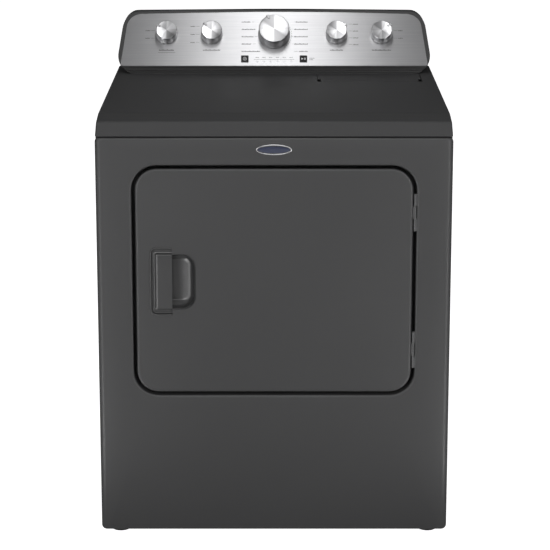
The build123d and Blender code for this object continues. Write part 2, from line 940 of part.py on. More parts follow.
def make_drum_baffles():
    """The three lifters inside the drum: tapered ribs that run from front to back."""
    rear = drum_rear - baffle_end_gap
    front = front_bulkhead_depth + collar_length + baffle_end_gap / 2
    with BuildPart() as drum_baffles:
        with BuildSketch(upright(rear)):
            with Locations((0, drum_height)):
                with PolarLocations(0, 3, start_angle=90):
                    with Locations((drum_inner - baffle_height / 2, 0)):
                        Rectangle(baffle_height, baffle_top)
                    with Locations((drum_inner - baffle_height / 6, 0)):
                        Rectangle(baffle_height / 3 + baffle_height, baffle_top / 2)
                    with Locations((drum_inner - baffle_height / 8, 0)):
                        Rectangle(baffle_height / 2, baffle_base)
                Circle(drum_inner, mode=Mode.INTERSECT)
        extrude(amount=rear - front)
    save(drum_baffles.part, "drum_baffles")


def make_rear_bulkhead():
    """The fixed back wall of the drum, with the warm air's inlet and the lint duct's outlet."""
    slot_pitch = grille_height / grille_slots
    with BuildPart() as rear_wall:
        with BuildSketch(upright(rear_bulkhead + sheet)):
            with Locations((0, (pan_top + bulkhead_top) / 2)):
                Rectangle(2 * inner_half - 2 * sheet, bulkhead_top - pan_top)
            with Locations((motor_x, motor_height)):
                Circle(shaft_hole_radius, mode=Mode.SUBTRACT)
            for side in (-1, 1):
                with Locations((side * grille_x, drum_height - grille_drop)):
                    with GridLocations(grille_width / 2, slot_pitch, 2, grille_slots):
                        SlotOverall(
                            grille_width / 2 - grille_slot_height, grille_slot_height, mode=Mode.SUBTRACT
                        )
        extrude(amount=sheet)
    save(rear_wall.part, "rear_bulkhead")


def roller_height():
    """The height of the rollers' centres, so that they just touch the drum's outside."""
    reach = drum_radius + roller_radius + running_fit
    return drum_height - sqrt(reach**2 - roller_x**2)


def roller_span():
    """The rollers' front and back depths."""
    back = rear_bulkhead - roller_setback
    return (back - roller_width, back)


def make_roller_shafts():
    """The two short shafts on the rear bulkhead that the drum's rollers turn on."""
    with BuildPart() as roller_shafts:
        for side in (-1, 1):
            rod(side * roller_x, roller_height(), roller_shaft_radius, (roller_span()[0] - 5, rear_bulkhead))
            rod(
                side * roller_x,
                roller_height(),
                2 * roller_shaft_radius,
                (roller_span()[1] + 1, rear_bulkhead),
            )
    save(roller_shafts.part, "roller_shafts")


def make_roller(name, side):
    """One drum support roller."""
    with BuildPart() as roller:
        rod(side * roller_x, roller_height(), roller_radius, roller_span())
        rod(
            side * roller_x,
            roller_height(),
            roller_shaft_radius + running_fit,
            (roller_span()[0] - 1, roller_span()[1] + 1),
            mode=Mode.SUBTRACT,
        )
    save(roller.part, name)


# ---- belt drive
belt_gap_line = sqrt(motor_x**2 + (drum_height - motor_height) ** 2)
span_sine = (drum_radius - pulley_radius) / belt_gap_line
span_cosine = sqrt(1 - span_sine**2)
to_motor = (motor_x / belt_gap_line, (motor_height - drum_height) / belt_gap_line)
span_direction = (
    to_motor[0] * span_cosine - to_motor[1] * span_sine,
    to_motor[1] * span_cosine + to_motor[0] * span_sine,
)
span_outward = (span_direction[1], -span_direction[0])
belt_outer = drum_radius + belt_clearance + belt_thickness
span_start = (span_outward[0] * belt_outer, drum_height + span_outward[1] * belt_outer)
span_length = belt_gap_line * span_cosine
idler_reach = idler_radius + belt_clearance
idler_place = (
    span_start[0] + span_direction[0] * span_length * idler_along_span + span_outward[0] * idler_reach,
    span_start[1] + span_direction[1] * span_length * idler_along_span + span_outward[1] * idler_reach,
)
idler_pivot = (idler_place[0] - pivot_side, idler_place[1] - pivot_drop)


def make_belt():
    """The flat drive belt, round the drum and the motor's pulley."""
    with BuildPart() as belt:
        for grow, mode in ((belt_clearance + belt_thickness, Mode.ADD), (belt_clearance, Mode.SUBTRACT)):
            with BuildSketch(upright(belt_depth + belt_width / 2)):
                with Locations((0, drum_height)):
                    Circle(drum_radius + grow)
                with Locations((motor_x, motor_height)):
                    Circle(pulley_radius + grow)
                make_hull()
            extrude(amount=belt_width, mode=mode)
    save(belt.part, "belt")


def make_idler_arm():
    """The sprung arm that presses the idler pulley on the belt's back."""
    front = belt_depth + pulley_width / 2 + idler_arm_gap
    back = front + idler_arm_thickness
    with BuildPart() as idler_arm:
        with BuildSketch(upright(back)):
            with Locations(idler_place, idler_pivot):
                Circle(idler_arm_half)
            make_hull()
            with Locations(idler_pivot):
                Circle(idler_pin_radius + running_fit, mode=Mode.SUBTRACT)
        extrude(amount=idler_arm_thickness)
        rod(idler_place[0], idler_place[1], idler_pin_radius, (belt_depth - pulley_width / 2 - 2, front))
        rod(idler_place[0], idler_place[1], 1.5 * idler_pin_radius, (front - idler_arm_gap / 2, front))
    save(idler_arm.part, "idler_arm")


def make_idler_pulley():
    """The idler's plain pulley."""
    span = (belt_depth - pulley_width / 2, belt_depth + pulley_width / 2)
    with BuildPart() as idler_pulley:
        rod(idler_place[0], idler_place[1], idler_radius, span)
        rod(
            idler_place[0],
            idler_place[1],
            idler_pin_radius + running_fit,
            (span[0] - 1, span[1] + 1),
            mode=Mode.SUBTRACT,
        )
    save(idler_pulley.part, "idler_pulley")


def make_motor_casing():
    """The motor's fixed casing on its foot."""
    back = motor_front + motor_length
    half_foot = motor_foot_width / 2
    with BuildPart() as motor_casing:
        rod(motor_x, motor_height, motor_radius, (motor_front, back))
        rod(motor_x, motor_height, motor_radius / 3, (motor_front - motor_hub_reach, back + motor_hub_reach))
        block(
            (motor_x - half_foot, motor_x + half_foot),
            (motor_front + motor_length / 6, back - motor_length / 6),
            (pan_top, motor_height - motor_radius / 2),
        )
        block(
            (motor_x - half_foot + motor_foot_wall, motor_x + half_foot - motor_foot_wall),
            (motor_front, back),
            (pan_top + motor_foot_wall, motor_height - motor_radius - motor_foot_wall),
            mode=Mode.SUBTRACT,
        )
        rod(
            motor_x,
            motor_height,
            motor_radius - motor_wall,
            (motor_front + motor_wall, back - motor_wall),
            mode=Mode.SUBTRACT,
        )
        with BuildSketch(upright(back + 1)):
            with Locations((motor_x, motor_height)):
                with PolarLocations(motor_vent_ring, motor_vents):
                    Circle(motor_vent_radius)
        extrude(amount=motor_length + 2, mode=Mode.SUBTRACT)
        rod(
            motor_x,
            motor_height,
            motor_shaft_radius + running_fit,
            (motor_front - 2 * motor_hub_reach, back + 2 * motor_hub_reach),
            mode=Mode.SUBTRACT,
        )
    save(motor_casing.part, "motor_casing")


def make_motor_rotor():
    """The motor's shaft, with the belt's pulley on its front end."""
    middle = (belt_depth - belt_width / 2 - 1, belt_depth + belt_width / 2 + 1)
    ends = (belt_depth - pulley_width / 2, belt_depth + pulley_width / 2)
    with BuildPart() as motor_rotor:
        rod(motor_x, motor_height, motor_shaft_radius, (ends[0] - 2, blower_back - wheel_end_gap))
        rod(motor_x, motor_height, pulley_radius, ends)
        rod(motor_x, motor_height, pulley_radius + pulley_flange, (ends[0], middle[0]))
        rod(motor_x, motor_height, pulley_radius + pulley_flange, (middle[1], ends[1]))
    save(motor_rotor.part, "motor_rotor")


def make_blower_wheel():
    """The fan wheel on the motor's rear end: a back plate, a hub and a ring of blades."""
    front = duct_back + wheel_end_gap
    back = blower_back - wheel_end_gap
    with BuildPart() as blower_wheel:
        rod(motor_x, motor_height, wheel_radius, (back - 2 * blower_wall, back))
        rod(motor_x, motor_height, 2 * motor_shaft_radius, (front + blower_depth / 3, back))
        with BuildSketch(upright(back)):
            with Locations((motor_x, motor_height)):
                with PolarLocations(wheel_radius - wheel_blade_depth / 2 - sheet, wheel_blades):
                    Rectangle(wheel_blade_depth, wheel_blade_thickness)
        extrude(amount=back - front)
        rod(
            motor_x,
            motor_height,
            motor_shaft_radius + running_fit / 5,
            (front - 1, back + 1),
            mode=Mode.SUBTRACT,
        )
    save(blower_wheel.part, "blower_wheel")


# ---- air path
def make_lint_duct():
    """The flat duct behind the drum, from the lint screen's slot down to the blower."""
    half = screen_width / 2 + screen_clearance + sheet + duct_wall
    top = tray_floor - sheet
    with BuildPart() as lint_duct:
        block(
            (lid_middle - half, lid_middle + half),
            (rear_bulkhead + sheet, duct_back),
            (duct_bottom_height, top),
        )
        block(
            (lid_middle - half + duct_wall, lid_middle + half - duct_wall),
            (rear_bulkhead, duct_back - duct_wall),
            (duct_bottom_height + duct_wall, top + 1),
            mode=Mode.SUBTRACT,
        )
        rod(
            motor_x,
            motor_height,
            blower_inlet,
            (duct_back - 2 * duct_wall, duct_back + 1),
            mode=Mode.SUBTRACT,
        )
    save(lint_duct.part, "lint_duct")


def make_blower_housing():
    """The blower's housing: a round chamber with a boxed outlet that turns back to the exhaust."""
    outlet_left = -exhaust_radius - outlet_margin
    outlet_low = motor_height - blower_radius
    outlet_high = exhaust_height + exhaust_radius + outlet_margin
    inside = (duct_back + blower_wall, blower_back - blower_wall)
    with BuildPart() as blower_housing:
        rod(motor_x, motor_height, blower_radius, (duct_back, blower_back))
        block((outlet_left, motor_x), (duct_back, blower_back), (outlet_low, outlet_high))
        rod(motor_x, motor_height, blower_radius - blower_wall, inside, mode=Mode.SUBTRACT)
        block(
            (outlet_left + blower_wall, motor_x),
            inside,
            (outlet_low + blower_wall, outlet_high - blower_wall),
            mode=Mode.SUBTRACT,
        )
        rod(motor_x, motor_height, blower_inlet, (duct_back - 1, inside[0]), mode=Mode.SUBTRACT)
        rod(0, exhaust_height, exhaust_radius + running_fit, (inside[1], blower_back + 1), mode=Mode.SUBTRACT)
        block(
            (motor_x - blower_wall * 5, motor_x + blower_wall * 5),
            (duct_back + blower_depth / 4, blower_back - blower_depth / 4),
            (pan_top, outlet_low + blower_wall / 2),
        )
    save(blower_housing.part, "blower_housing")


def make_exhaust_pipe():
    """The round exhaust outlet, from the blower through the rear panel, with a bead as a stop."""
    with BuildPart() as exhaust_pipe:
        rod(0, exhaust_height, exhaust_radius, (blower_back - blower_wall, cabinet_depth + exhaust_stub))
        rod(0, exhaust_height, exhaust_radius + exhaust_bead, (cabinet_depth, cabinet_depth + 3 * sheet))
        rod(
            0,
            exhaust_height,
            exhaust_radius - exhaust_wall,
            (blower_back - 2 * blower_wall, cabinet_depth + exhaust_stub + 1),
            mode=Mode.SUBTRACT,
        )
    save(exhaust_pipe.part, "exhaust_pipe")


def make_heater_box():
    """The steel box behind the drum's air inlet, open below, where the air is heated."""
    level = drum_height - grille_drop
    left = heater_x - heater_width / 2
    right = heater_x + heater_width / 2
    back = rear_bulkhead + sheet + heater_depth
    with BuildPart() as heater_box:
        block(
            (left, right),
            (rear_bulkhead + sheet, back),
            (level - heater_height / 2, level + heater_height / 2),
        )
        block(
            (left + heater_wall, right - heater_wall),
            (rear_bulkhead, back - heater_wall),
            (level - heater_height, level + heater_height / 2 - heater_wall),
            mode=Mode.SUBTRACT,
        )
    save(heater_box.part, "heater_box")


def make_heater_coils():
    """The heating element: rows joined end to end on one carrier strip."""
    level = drum_height - grille_drop
    left = heater_x - heater_width / 2 + heater_wall
    right = heater_x + heater_width / 2 - heater_wall
    middle = rear_bulkhead + sheet + heater_depth / 2
    first = level - coil_pitch * (coil_rows - 1) / 2
    with BuildPart() as heater_coils:
        for row in range(coil_rows):
            place = ((left + right) / 2, at_depth(middle), first + row * coil_pitch)
            with Locations(Location(place, (0, 90, 0))):
                Cylinder(coil_radius, right - left)
        block(
            (heater_x - 2 * coil_radius, heater_x + 2 * coil_radius),
            (middle - coil_radius / 2, middle + coil_radius / 2),
            (first - coil_radius, first + coil_pitch * (coil_rows - 1) + coil_radius),
        )
    save(heater_coils.part, "heater_coils")


def make_thermostats():
    """The safety thermostat on the heater box and the cycling thermostat on the blower."""
    left = heater_x - heater_width / 2
    with BuildPart() as thermostats:
        with Locations(
            Location(
                (left - thermostat_height / 2, at_depth(rear_bulkhead + heater_depth / 2), drum_height),
                (0, 90, 0),
            )
        ):
            Cylinder(thermostat_radius, thermostat_height)
        with Locations(
            (
                motor_x / 4,
                at_depth(duct_back + blower_depth / 2),
                exhaust_height + exhaust_radius + outlet_margin + thermostat_height / 2,
            )
        ):
            Cylinder(thermostat_radius, thermostat_height)
    save(thermostats.part, "thermostats")


# ---- lint screen
def make_lint_lid():
    """The lid in the top panel, flush with it, with a finger notch at each end."""
    left = lid_right - lid_width
    with BuildPart() as lint_lid:
        block((left, lid_right), (lid_front, lid_back), (top_height - lid_thickness, top_height))
        for start in (left, lid_right - notch_width):
            block(
                (start, start + notch_width),
                (lid_front, lid_front + notch_length),
                (top_height - 2 * lid_thickness, top_height + 1),
                mode=Mode.SUBTRACT,
            )
    save(lint_lid.part, "lint_lid")


def make_lint_screen():
    """The frame of the lint screen, which hangs from its lid."""
    top = top_height - lid_thickness
    span = (screen_middle - screen_depth / 2, screen_middle + screen_depth / 2)
    half = screen_width / 2
    with BuildPart() as lint_screen:
        block((lid_middle - half, lid_middle + half), span, (top - screen_height, top))
        block(
            (lid_middle - half + screen_bar, lid_middle + half - screen_bar),
            (span[0] - 1, span[1] + 1),
            (top - screen_height + screen_bar, top - screen_bar),
            mode=Mode.SUBTRACT,
        )
    save(lint_screen.part, "lint_screen")


def make_lint_mesh():
    """The fine mesh across the back of the screen's frame."""
    top = top_height - lid_thickness
    back = screen_middle + screen_depth / 2
    half = screen_width / 2 - screen_bar
    with BuildPart() as lint_mesh:
        block(
            (lid_middle - half, lid_middle + half),
            (back - 2 * mesh_thickness, back - mesh_thickness),
            (top - screen_height + screen_bar, top - screen_bar),
        )
    save(lint_mesh.part, "lint_mesh")


# ---- console
def console_form(inset):
    """The console's outer form, or with an inset its hollow, as one solid."""
    drop = console_height if inset else 0
    base = top_height - drop
    lip = top_height + console_lip_height
    band = lip + console_band_height
    slope_foot = fascia_foot - fascia_up * fascia_bottom_border
    slope_head = fascia_foot + fascia_up * (fascia_length + fascia_top_border)
    crest = top_height + console_height
    rear = at_depth(cabinet_depth - console_rear_gap)
    crest_arch = crest - console_arch
    with BuildPart() as form:
        with BuildSketch(Plane.YZ.offset(-half_width)):
            with BuildLine():
                Polyline(
                    (at_depth(console_front), base),
                    (at_depth(console_front), lip),
                    (at_depth(console_front + console_band_recess), lip),
                    (at_depth(console_front + console_band_recess), band),
                    (slope_foot.Y, band),
                    (slope_head.Y, slope_head.Z),
                    (slope_head.Y + console_top_depth, crest),
                    (rear, crest - console_rear_drop),
                    (rear, base),
                    close=True,
                )
            make_face()
            if inset:
                offset(amount=-inset, kind=Kind.INTERSECTION)
        extrude(amount=width)
        with BuildSketch(upright(cabinet_depth)):
            with BuildLine():
                Polyline(
                    (-console_half(crest_arch), crest_arch),
                    (-console_half(base), base),
                    (console_half(base), base),
                    (console_half(crest_arch), crest_arch),
                )
                ThreePointArc(
                    (console_half(crest_arch), crest_arch),
                    (0, crest),
                    (-console_half(crest_arch), crest_arch),
                )
            face = make_face()
            corners = face.vertices().group_by(Axis.Z)[-1]
            fillet(corners, radius=console_corner)
            if inset:
                offset(amount=-inset, kind=Kind.INTERSECTION)
        extrude(amount=console_setback, mode=Mode.INTERSECT)
    return form.part


def fascia_outline(grow=0.0):
    """The brushed plate's outline in the sketch being drawn on the fascia's plane."""
    rise = cos(radians(fascia_tilt))
    foot_half = console_half(fascia_foot_height) - fascia_side_border
    head_level = fascia_length - console_arch
    head_half = console_half(fascia_foot_height + head_level * rise) - fascia_side_border
    outline = fascia_face(foot_half, head_half, head_level)
    add(outline)
    if grow:
        offset(amount=grow, kind=Kind.INTERSECTION)


def fascia_face(foot_half, head_half, head_level):
    """The plate's face on its own: straight sides that lean in, an arched top, rounded corners."""
    with BuildSketch() as plate:
        with BuildLine():
            Polyline((-head_half, head_level), (-foot_half, 0), (foot_half, 0), (head_half, head_level))
            ThreePointArc((head_half, head_level), (0, fascia_length), (-head_half, head_level))
        make_face()
        fillet(plate.vertices().group_by(Axis.Y)[-1], radius=fascia_corner)
        fillet(plate.vertices().group_by(Axis.Y)[0], radius=fascia_bottom_corner)
    return plate.sketch


knobs = {
    "cycle_knob": (0.0, large_face_radius, large_skirt_radius, large_knob_height, 115.0),
    "temperature_knob": (-inner_knob_x, small_face_radius, small_skirt_radius, small_knob_height, 135.0),
    "extra_power_knob": (-outer_knob_x, small_face_radius, small_skirt_radius, small_knob_height, 150.0),
    "options_knob": (inner_knob_x, small_face_radius, small_skirt_radius, small_knob_height, 35.0),
    "cycle_signal_knob": (outer_knob_x, small_face_radius, small_skirt_radius, small_knob_height, 35.0),
}
light_places = [
    ((number - (light_count - 1) / 2) * light_spacing, light_line) for number in range(light_count)
]


def fascia_holes(depth_in, shaft_room, button_room, light_room):
    """The holes for shafts, buttons and lights, cut into the part being built from the fascia's face."""
    for x, *_ in knobs.values():
        with Locations(fascia_plane(x, knob_line, -depth_in / 2).location):
            Cylinder(knob_shaft_radius + shaft_room, depth_in + 1, mode=Mode.SUBTRACT)
    button_hole = button_size + 2 * button_room
    for side in (-1, 1):
        with Locations(fascia_plane(side * button_x, button_line, -depth_in / 2).location):
            Box(button_hole, button_hole, depth_in + 1, mode=Mode.SUBTRACT)
    for x, up in light_places:
        with Locations(fascia_plane(x, up, -depth_in / 2).location):
            Cylinder(light_radius + light_room, depth_in + 1, mode=Mode.SUBTRACT)


def make_console_housing():
    """The console's dark shell, recessed for the fascia and open underneath."""
    outer = console_form(0)
    hollow = console_form(console_wall)
    with BuildPart() as console_housing:
        add(outer)
        add(hollow, mode=Mode.SUBTRACT)
        with BuildSketch(fascia_plane()):
            fascia_outline(grow=fascia_fit)
        extrude(amount=-fascia_thickness, mode=Mode.SUBTRACT)
        fascia_holes(3 * console_wall, knob_hole_clearance, button_gap, fascia_fit)
    save(console_housing.part, "console_housing")


def make_fascia():
    """The brushed metal plate on the console's slope."""
    with BuildPart() as fascia:
        with BuildSketch(fascia_plane()):
            fascia_outline()
        extrude(amount=-fascia_thickness)
        fascia_holes(3 * fascia_thickness, knob_hole_clearance, button_gap, fascia_fit)
    save(fascia.part, "fascia")


def make_knob(name, x, face_radius, skirt_radius, height, pointer_turn):
    """A control knob: skirt, body with a pointer on its rim, and the shaft into its switch."""
    reach_in = knob_gap + board_depth
    pointer_middle = face_radius + pointer_reach - pointer_length / 2
    with BuildPart() as knob:
        with BuildSketch(fascia_plane(x, knob_line, knob_gap)):
            Circle(skirt_radius)
        extrude(amount=skirt_thickness)
        with BuildSketch(fascia_plane(x, knob_line, knob_gap)):
            Circle(face_radius)
        extrude(amount=height)
        crown = knob.faces().sort_by(Axis(fascia_foot, fascia_normal))[-1].edges()
        fillet(crown, radius=sheet)
        with BuildSketch(fascia_plane(x, knob_line, knob_gap)):
            with PolarLocations(pointer_middle, 1, start_angle=pointer_turn):
                Rectangle(pointer_length, pointer_width)
        extrude(amount=height + pointer_lift)
        with BuildSketch(fascia_plane(x, knob_line, knob_gap)):
            Circle(knob_shaft_radius)
        extrude(amount=-reach_in)
    save(knob.part, name)


def make_button(name, side):
    """A square push button with a flange behind the console's wall."""
    flange_out = -(fascia_thickness + console_wall + 2 * button_travel)
    with BuildPart() as button:
        with BuildSketch(fascia_plane(side * button_x, button_line, button_proud)):
            RectangleRounded(button_size, button_size, sheet)
        extrude(amount=flange_out - button_flange - button_proud)
        with BuildSketch(fascia_plane(side * button_x, button_line, flange_out)):
            Rectangle(button_size + 2 * button_flange, button_size + 2 * button_flange)
        extrude(amount=-button_flange)
    save(button.part, name)


def make_indicator_lenses():
    """The row of small round lights under the middle of the fascia."""
    with BuildPart() as indicator_lenses:
        for x, up in light_places:
            with BuildSketch(fascia_plane(x, up, fascia_fit)):
                Circle(light_radius)
            extrude(amount=-fascia_fit - console_wall)
    save(indicator_lenses.part, "indicator_lenses")


def make_control_board():
    """The circuit board behind the fascia, with a switch body for each knob."""
    switch_front = -(console_wall + sheet / 2)
    board_up = (button_line + knob_line + 2 * encoder_radius) / 2
    board_height = knob_line + 2 * encoder_radius - button_line
    with BuildPart() as control_board:
        with BuildSketch(fascia_plane(0, board_up, -board_depth)):
            Rectangle(board_length, board_height)
        extrude(amount=-board_thickness)
        for x, *_ in knobs.values():
            with BuildSketch(fascia_plane(x, knob_line, -board_depth)):
                Circle(encoder_radius)
            extrude(amount=board_depth + switch_front)
            with BuildSketch(fascia_plane(x, knob_line, -board_depth - board_thickness)):
                Circle(knob_shaft_radius + knob_shaft_fit)
            extrude(amount=board_depth + board_thickness, mode=Mode.SUBTRACT)
    save(control_board.part, "control_board")


# ---- small pieces
def make_nameplate():
    """A plain oval plate above the door, left blank."""
    with BuildPart() as nameplate:
        with BuildSketch(upright(0)):
            with Locations((0, skirt_bottom - plate_below_seam)):
                Ellipse(plate_width / 2, plate_height / 2)
        extrude(amount=plate_proud)
    save(nameplate.part, "nameplate")


def make_terminal_block():
    """The insulating block with the three supply terminals, behind the rear window."""
    front = cabinet_depth - bracket_setback
    with BuildPart() as terminal_block:
        block(
            (terminal_x - terminal_block_width / 2, terminal_x + terminal_block_width / 2),
            (front, front + terminal_block_depth),
            (terminal_height - terminal_block_height / 2, terminal_height + terminal_block_height / 2),
        )
        for number in (-1, 0, 1):
            rod(
                terminal_x + number * terminal_block_width / 3,
                terminal_height,
                screw_radius,
                (front + terminal_block_depth, front + terminal_block_depth + screw_radius),
            )
    save(terminal_block.part, "terminal_block")


def make_terminal_cover():
    """The steel plate over the terminal window."""
    with BuildPart() as terminal_cover:
        with BuildSketch(upright(cabinet_depth + terminal_cover_thickness)):
            with Locations((terminal_x, terminal_height)):
                RectangleRounded(
                    terminal_opening_width + 2 * terminal_cover_lap,
                    terminal_opening_height + 2 * terminal_cover_lap,
                    terminal_cover_lap,
                )
        extrude(amount=terminal_cover_thickness)
    save(terminal_cover.part, "terminal_cover")


def make_rear_screws():
    """The screws that hold the rear panel."""
    with BuildPart() as rear_screws:
        for x, height in rear_screw_places():
            rod(x, height, screw_radius, (cabinet_depth, cabinet_depth + screw_head))
            rod(x, height, screw_shank_radius, (rear_inner - screw_head, cabinet_depth))
    save(rear_screws.part, "rear_screws")


def make_foot(name, x, depth):
    """A levelling foot: a round pad on a threaded stud."""
    with BuildPart() as foot:
        with Locations((x, at_depth(depth), foot_pad_height / 2)):
            Cylinder(foot_pad_radius, foot_pad_height)
        with Locations((x, at_depth(depth), foot_stud_top / 2)):
            Cylinder(foot_stud_radius, foot_stud_top)
    save(foot.part, name)


make_side_panel("cabinet_side_left", -1)
make_side_panel("cabinet_side_right", 1)
make_base_pan()
make_front_panel()
make_rear_panel()
make_top_panel()
make_door_skin()
make_door_inner()
make_door_seal()
make_door_handle()
make_door_hinge_leaves()
make_cabinet_hinge_leaves()
make_door_catch()
make_door_strike()
make_door_switch()
make_door_switch_plunger()
make_front_bulkhead()
make_front_glides()
make_drum_seals()
make_drum()
make_drum_baffles()
make_rear_bulkhead()
make_roller_shafts()
make_roller("roller_left", -1)
make_roller("roller_right", 1)
make_belt()
make_idler_arm()
make_idler_pulley()
make_motor_casing()
make_motor_rotor()
make_blower_wheel()
make_lint_duct()
make_blower_housing()
make_exhaust_pipe()
make_heater_box()
make_heater_coils()
make_thermostats()
make_lint_lid()
make_lint_screen()
make_lint_mesh()
make_console_housing()
make_fascia()
for knob_name, knob_sizes in knobs.items():
    make_knob(knob_name, *knob_sizes)
make_button("button_left", -1)
make_button("button_right", 1)
make_indicator_lenses()
make_control_board()
make_nameplate()
make_terminal_block()
make_terminal_cover()
make_rear_screws()
for foot_name, foot_place in zip(
    ("foot_front_left", "foot_front_right", "foot_rear_left", "foot_rear_right"), foot_places
):
    make_foot(foot_name, *foot_place)
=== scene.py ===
# %% [markdown]
# # A clothes dryer, dressed for a studio picture
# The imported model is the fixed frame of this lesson. It says where every panel, knob and screw sits, in
# metres. This script adds the surfaces a CAD model leaves out: rolled sheet-metal edges, brushed and spun
# metal, satin enamel, moulded grain, and the small pieces that repeat.

# %% Load the frame
import bpy
import bmesh
import json
from math import atan2, cos, pi, radians, sin
from mathutils import Matrix, Vector
from mathutils.geometry import tessellate_polygon

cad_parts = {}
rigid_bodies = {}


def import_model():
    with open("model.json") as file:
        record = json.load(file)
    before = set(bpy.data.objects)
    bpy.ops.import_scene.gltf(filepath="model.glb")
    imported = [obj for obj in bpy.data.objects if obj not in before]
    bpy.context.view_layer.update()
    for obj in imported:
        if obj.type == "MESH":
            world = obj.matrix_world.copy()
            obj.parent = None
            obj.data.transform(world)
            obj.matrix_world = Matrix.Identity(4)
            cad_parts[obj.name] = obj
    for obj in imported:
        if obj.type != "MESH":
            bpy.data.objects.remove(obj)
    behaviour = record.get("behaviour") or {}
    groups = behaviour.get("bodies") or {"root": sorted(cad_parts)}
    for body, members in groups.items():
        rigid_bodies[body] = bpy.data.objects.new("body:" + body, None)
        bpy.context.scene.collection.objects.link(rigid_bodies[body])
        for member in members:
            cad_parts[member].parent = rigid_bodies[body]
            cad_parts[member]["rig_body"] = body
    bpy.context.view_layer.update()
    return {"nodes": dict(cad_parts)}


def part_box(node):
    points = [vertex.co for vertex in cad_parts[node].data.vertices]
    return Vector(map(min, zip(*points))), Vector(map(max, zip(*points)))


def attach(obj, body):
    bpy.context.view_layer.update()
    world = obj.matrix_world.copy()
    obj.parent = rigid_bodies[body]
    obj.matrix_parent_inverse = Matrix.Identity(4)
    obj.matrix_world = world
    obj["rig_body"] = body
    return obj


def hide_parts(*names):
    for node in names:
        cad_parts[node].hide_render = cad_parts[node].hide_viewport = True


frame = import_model()
front_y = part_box("front_panel")[0].y

# %% [markdown]
# ## Camera
# A long lens a few metres away keeps the cabinet's sides almost parallel, as a catalogue picture does. The
# camera stands above the console and looks slightly down, so the sloped console and the top both show.

# %% Camera
camera_distance = 4.534
camera_height = 1.697
camera_pitch = radians(13.94)
camera_lens = 146.6

camera_data = bpy.data.cameras.new("camera")
camera_data.lens = camera_lens
camera_data.sensor_width = 36
camera = bpy.data.objects.new("camera", camera_data)
camera.location = (0.002, front_y - camera_distance, camera_height)
camera.rotation_euler = (pi / 2 - camera_pitch, 0, 0)
bpy.context.scene.collection.objects.link(camera)
bpy.context.scene.camera = camera
print("camera at", [round(v, 3) for v in camera.location])

# %% [markdown]
# ## Helpers
# Every piece below is a plain mesh whose object stays at the origin, with its place in its vertices. These
# short functions make a mesh object, give it a material, and hand it to the body it moves with.


# %% Helpers for pieces
def make_piece(name, verts, faces, material, body, smooth_angle=35, replaces=()):
    """A mesh object from points and faces, smoothed below an angle, riding on a body."""
    mesh = bpy.data.meshes.new(name)
    mesh.from_pydata([tuple(v) for v in verts], [], faces)
    return finish_piece(name, mesh, material, body, smooth_angle, replaces)


def finish_piece(name, mesh, material, body, smooth_angle=35, replaces=()):
    """Gives a mesh its object, its material, its soft shading and its body."""
    mesh.validate()
    mesh.polygons.foreach_set("use_smooth", [True] * len(mesh.polygons))
    mesh.set_sharp_from_angle(angle=radians(smooth_angle))
    mesh.materials.clear()
    mesh.materials.append(material)
    piece = bpy.data.objects.new(name, mesh)
    bpy.context.scene.collection.objects.link(piece)
    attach(piece, body)
    if replaces:
        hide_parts(*replaces)
    return piece


def softened(node, material, bevel, segments=2, angle=30):
    """A copy of a CAD node with its corners merged and its hard edges rounded over."""
    mesh = frame["nodes"][node].data.copy()
    work = bmesh.new()
    work.from_mesh(mesh)
    bmesh.ops.remove_doubles(work, verts=work.verts, dist=1e-6)
    bmesh.ops.dissolve_limit(
        work, angle_limit=radians(1), verts=work.verts, edges=work.edges, delimit={"NORMAL"}
    )
    work.to_mesh(mesh)
    work.free()
    piece = finish_piece(
        node + "_finished", mesh, material, frame["nodes"][node]["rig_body"], angle, (node,)
    )
    if bevel:
        rounding = piece.modifiers.new("rounded_edges", "BEVEL")
        rounding.width = bevel
        rounding.segments = segments
        rounding.limit_method = "ANGLE"
        rounding.angle_limit = radians(angle)
        rounding.harden_normals = True
        rounding.use_clamp_overlap = True
    return piece


def joined(parts):
    """Several lists of points and faces as one."""
    verts, faces = [], []
    for points, polygons in parts:
        start = len(verts)
        verts += points
        faces += [[start + i for i in polygon] for polygon in polygons]
    return verts, faces


def arc(middle, radius, start, end, count=8):
    """Points along an arc, angles in degrees."""
    turns = [radians(start + (end - start) * i / count) for i in range(count + 1)]
    return [(middle[0] + radius * cos(turn), middle[1] + radius * sin(turn)) for turn in turns]


def circle(steps):
    """The cosine and sine of evenly spaced turns."""
    return [(cos(2 * pi * i / steps), sin(2 * pi * i / steps)) for i in range(steps)]


def rounded_rectangle(half_across, half_up, radius, steps=10, runs=6):
    """Points around a rounded rectangle, anticlockwise seen from the front, always the same count."""
    inner_across, inner_up = half_across - radius, half_up - radius
    corners = [
        arc((side * inner_across, up * inner_up), radius, 90 * number, 90 * number + 90, steps)
        for number, (side, up) in enumerate(((1, 1), (-1, 1), (-1, -1), (1, -1)))
    ]
    points = []
    for corner, after in zip(corners, corners[1:] + corners[:1]):
        points += corner
        ends = list(zip(corner[-1], after[0]))
        points += [tuple(a + (b - a) * run / runs for a, b in ends) for run in range(1, runs)]
    return points


def loft(loops, close_end=False, ring=False):
    """Points and faces of a skin over loops of equal count. A ring also joins the last loop to the first."""
    count = len(loops[0])
    total = len(loops) * count
    verts = [point for loop in loops for point in loop]
    faces = []
    for start in range(0, total if ring else total - count, count):
        for i in range(count):
            a, b = start + i, start + (i + 1) % count
            faces.append([a, b, (b + count) % total, (a + count) % total])
    if close_end:
        faces.append([total - count + i for i in range(count)])
    return verts, faces


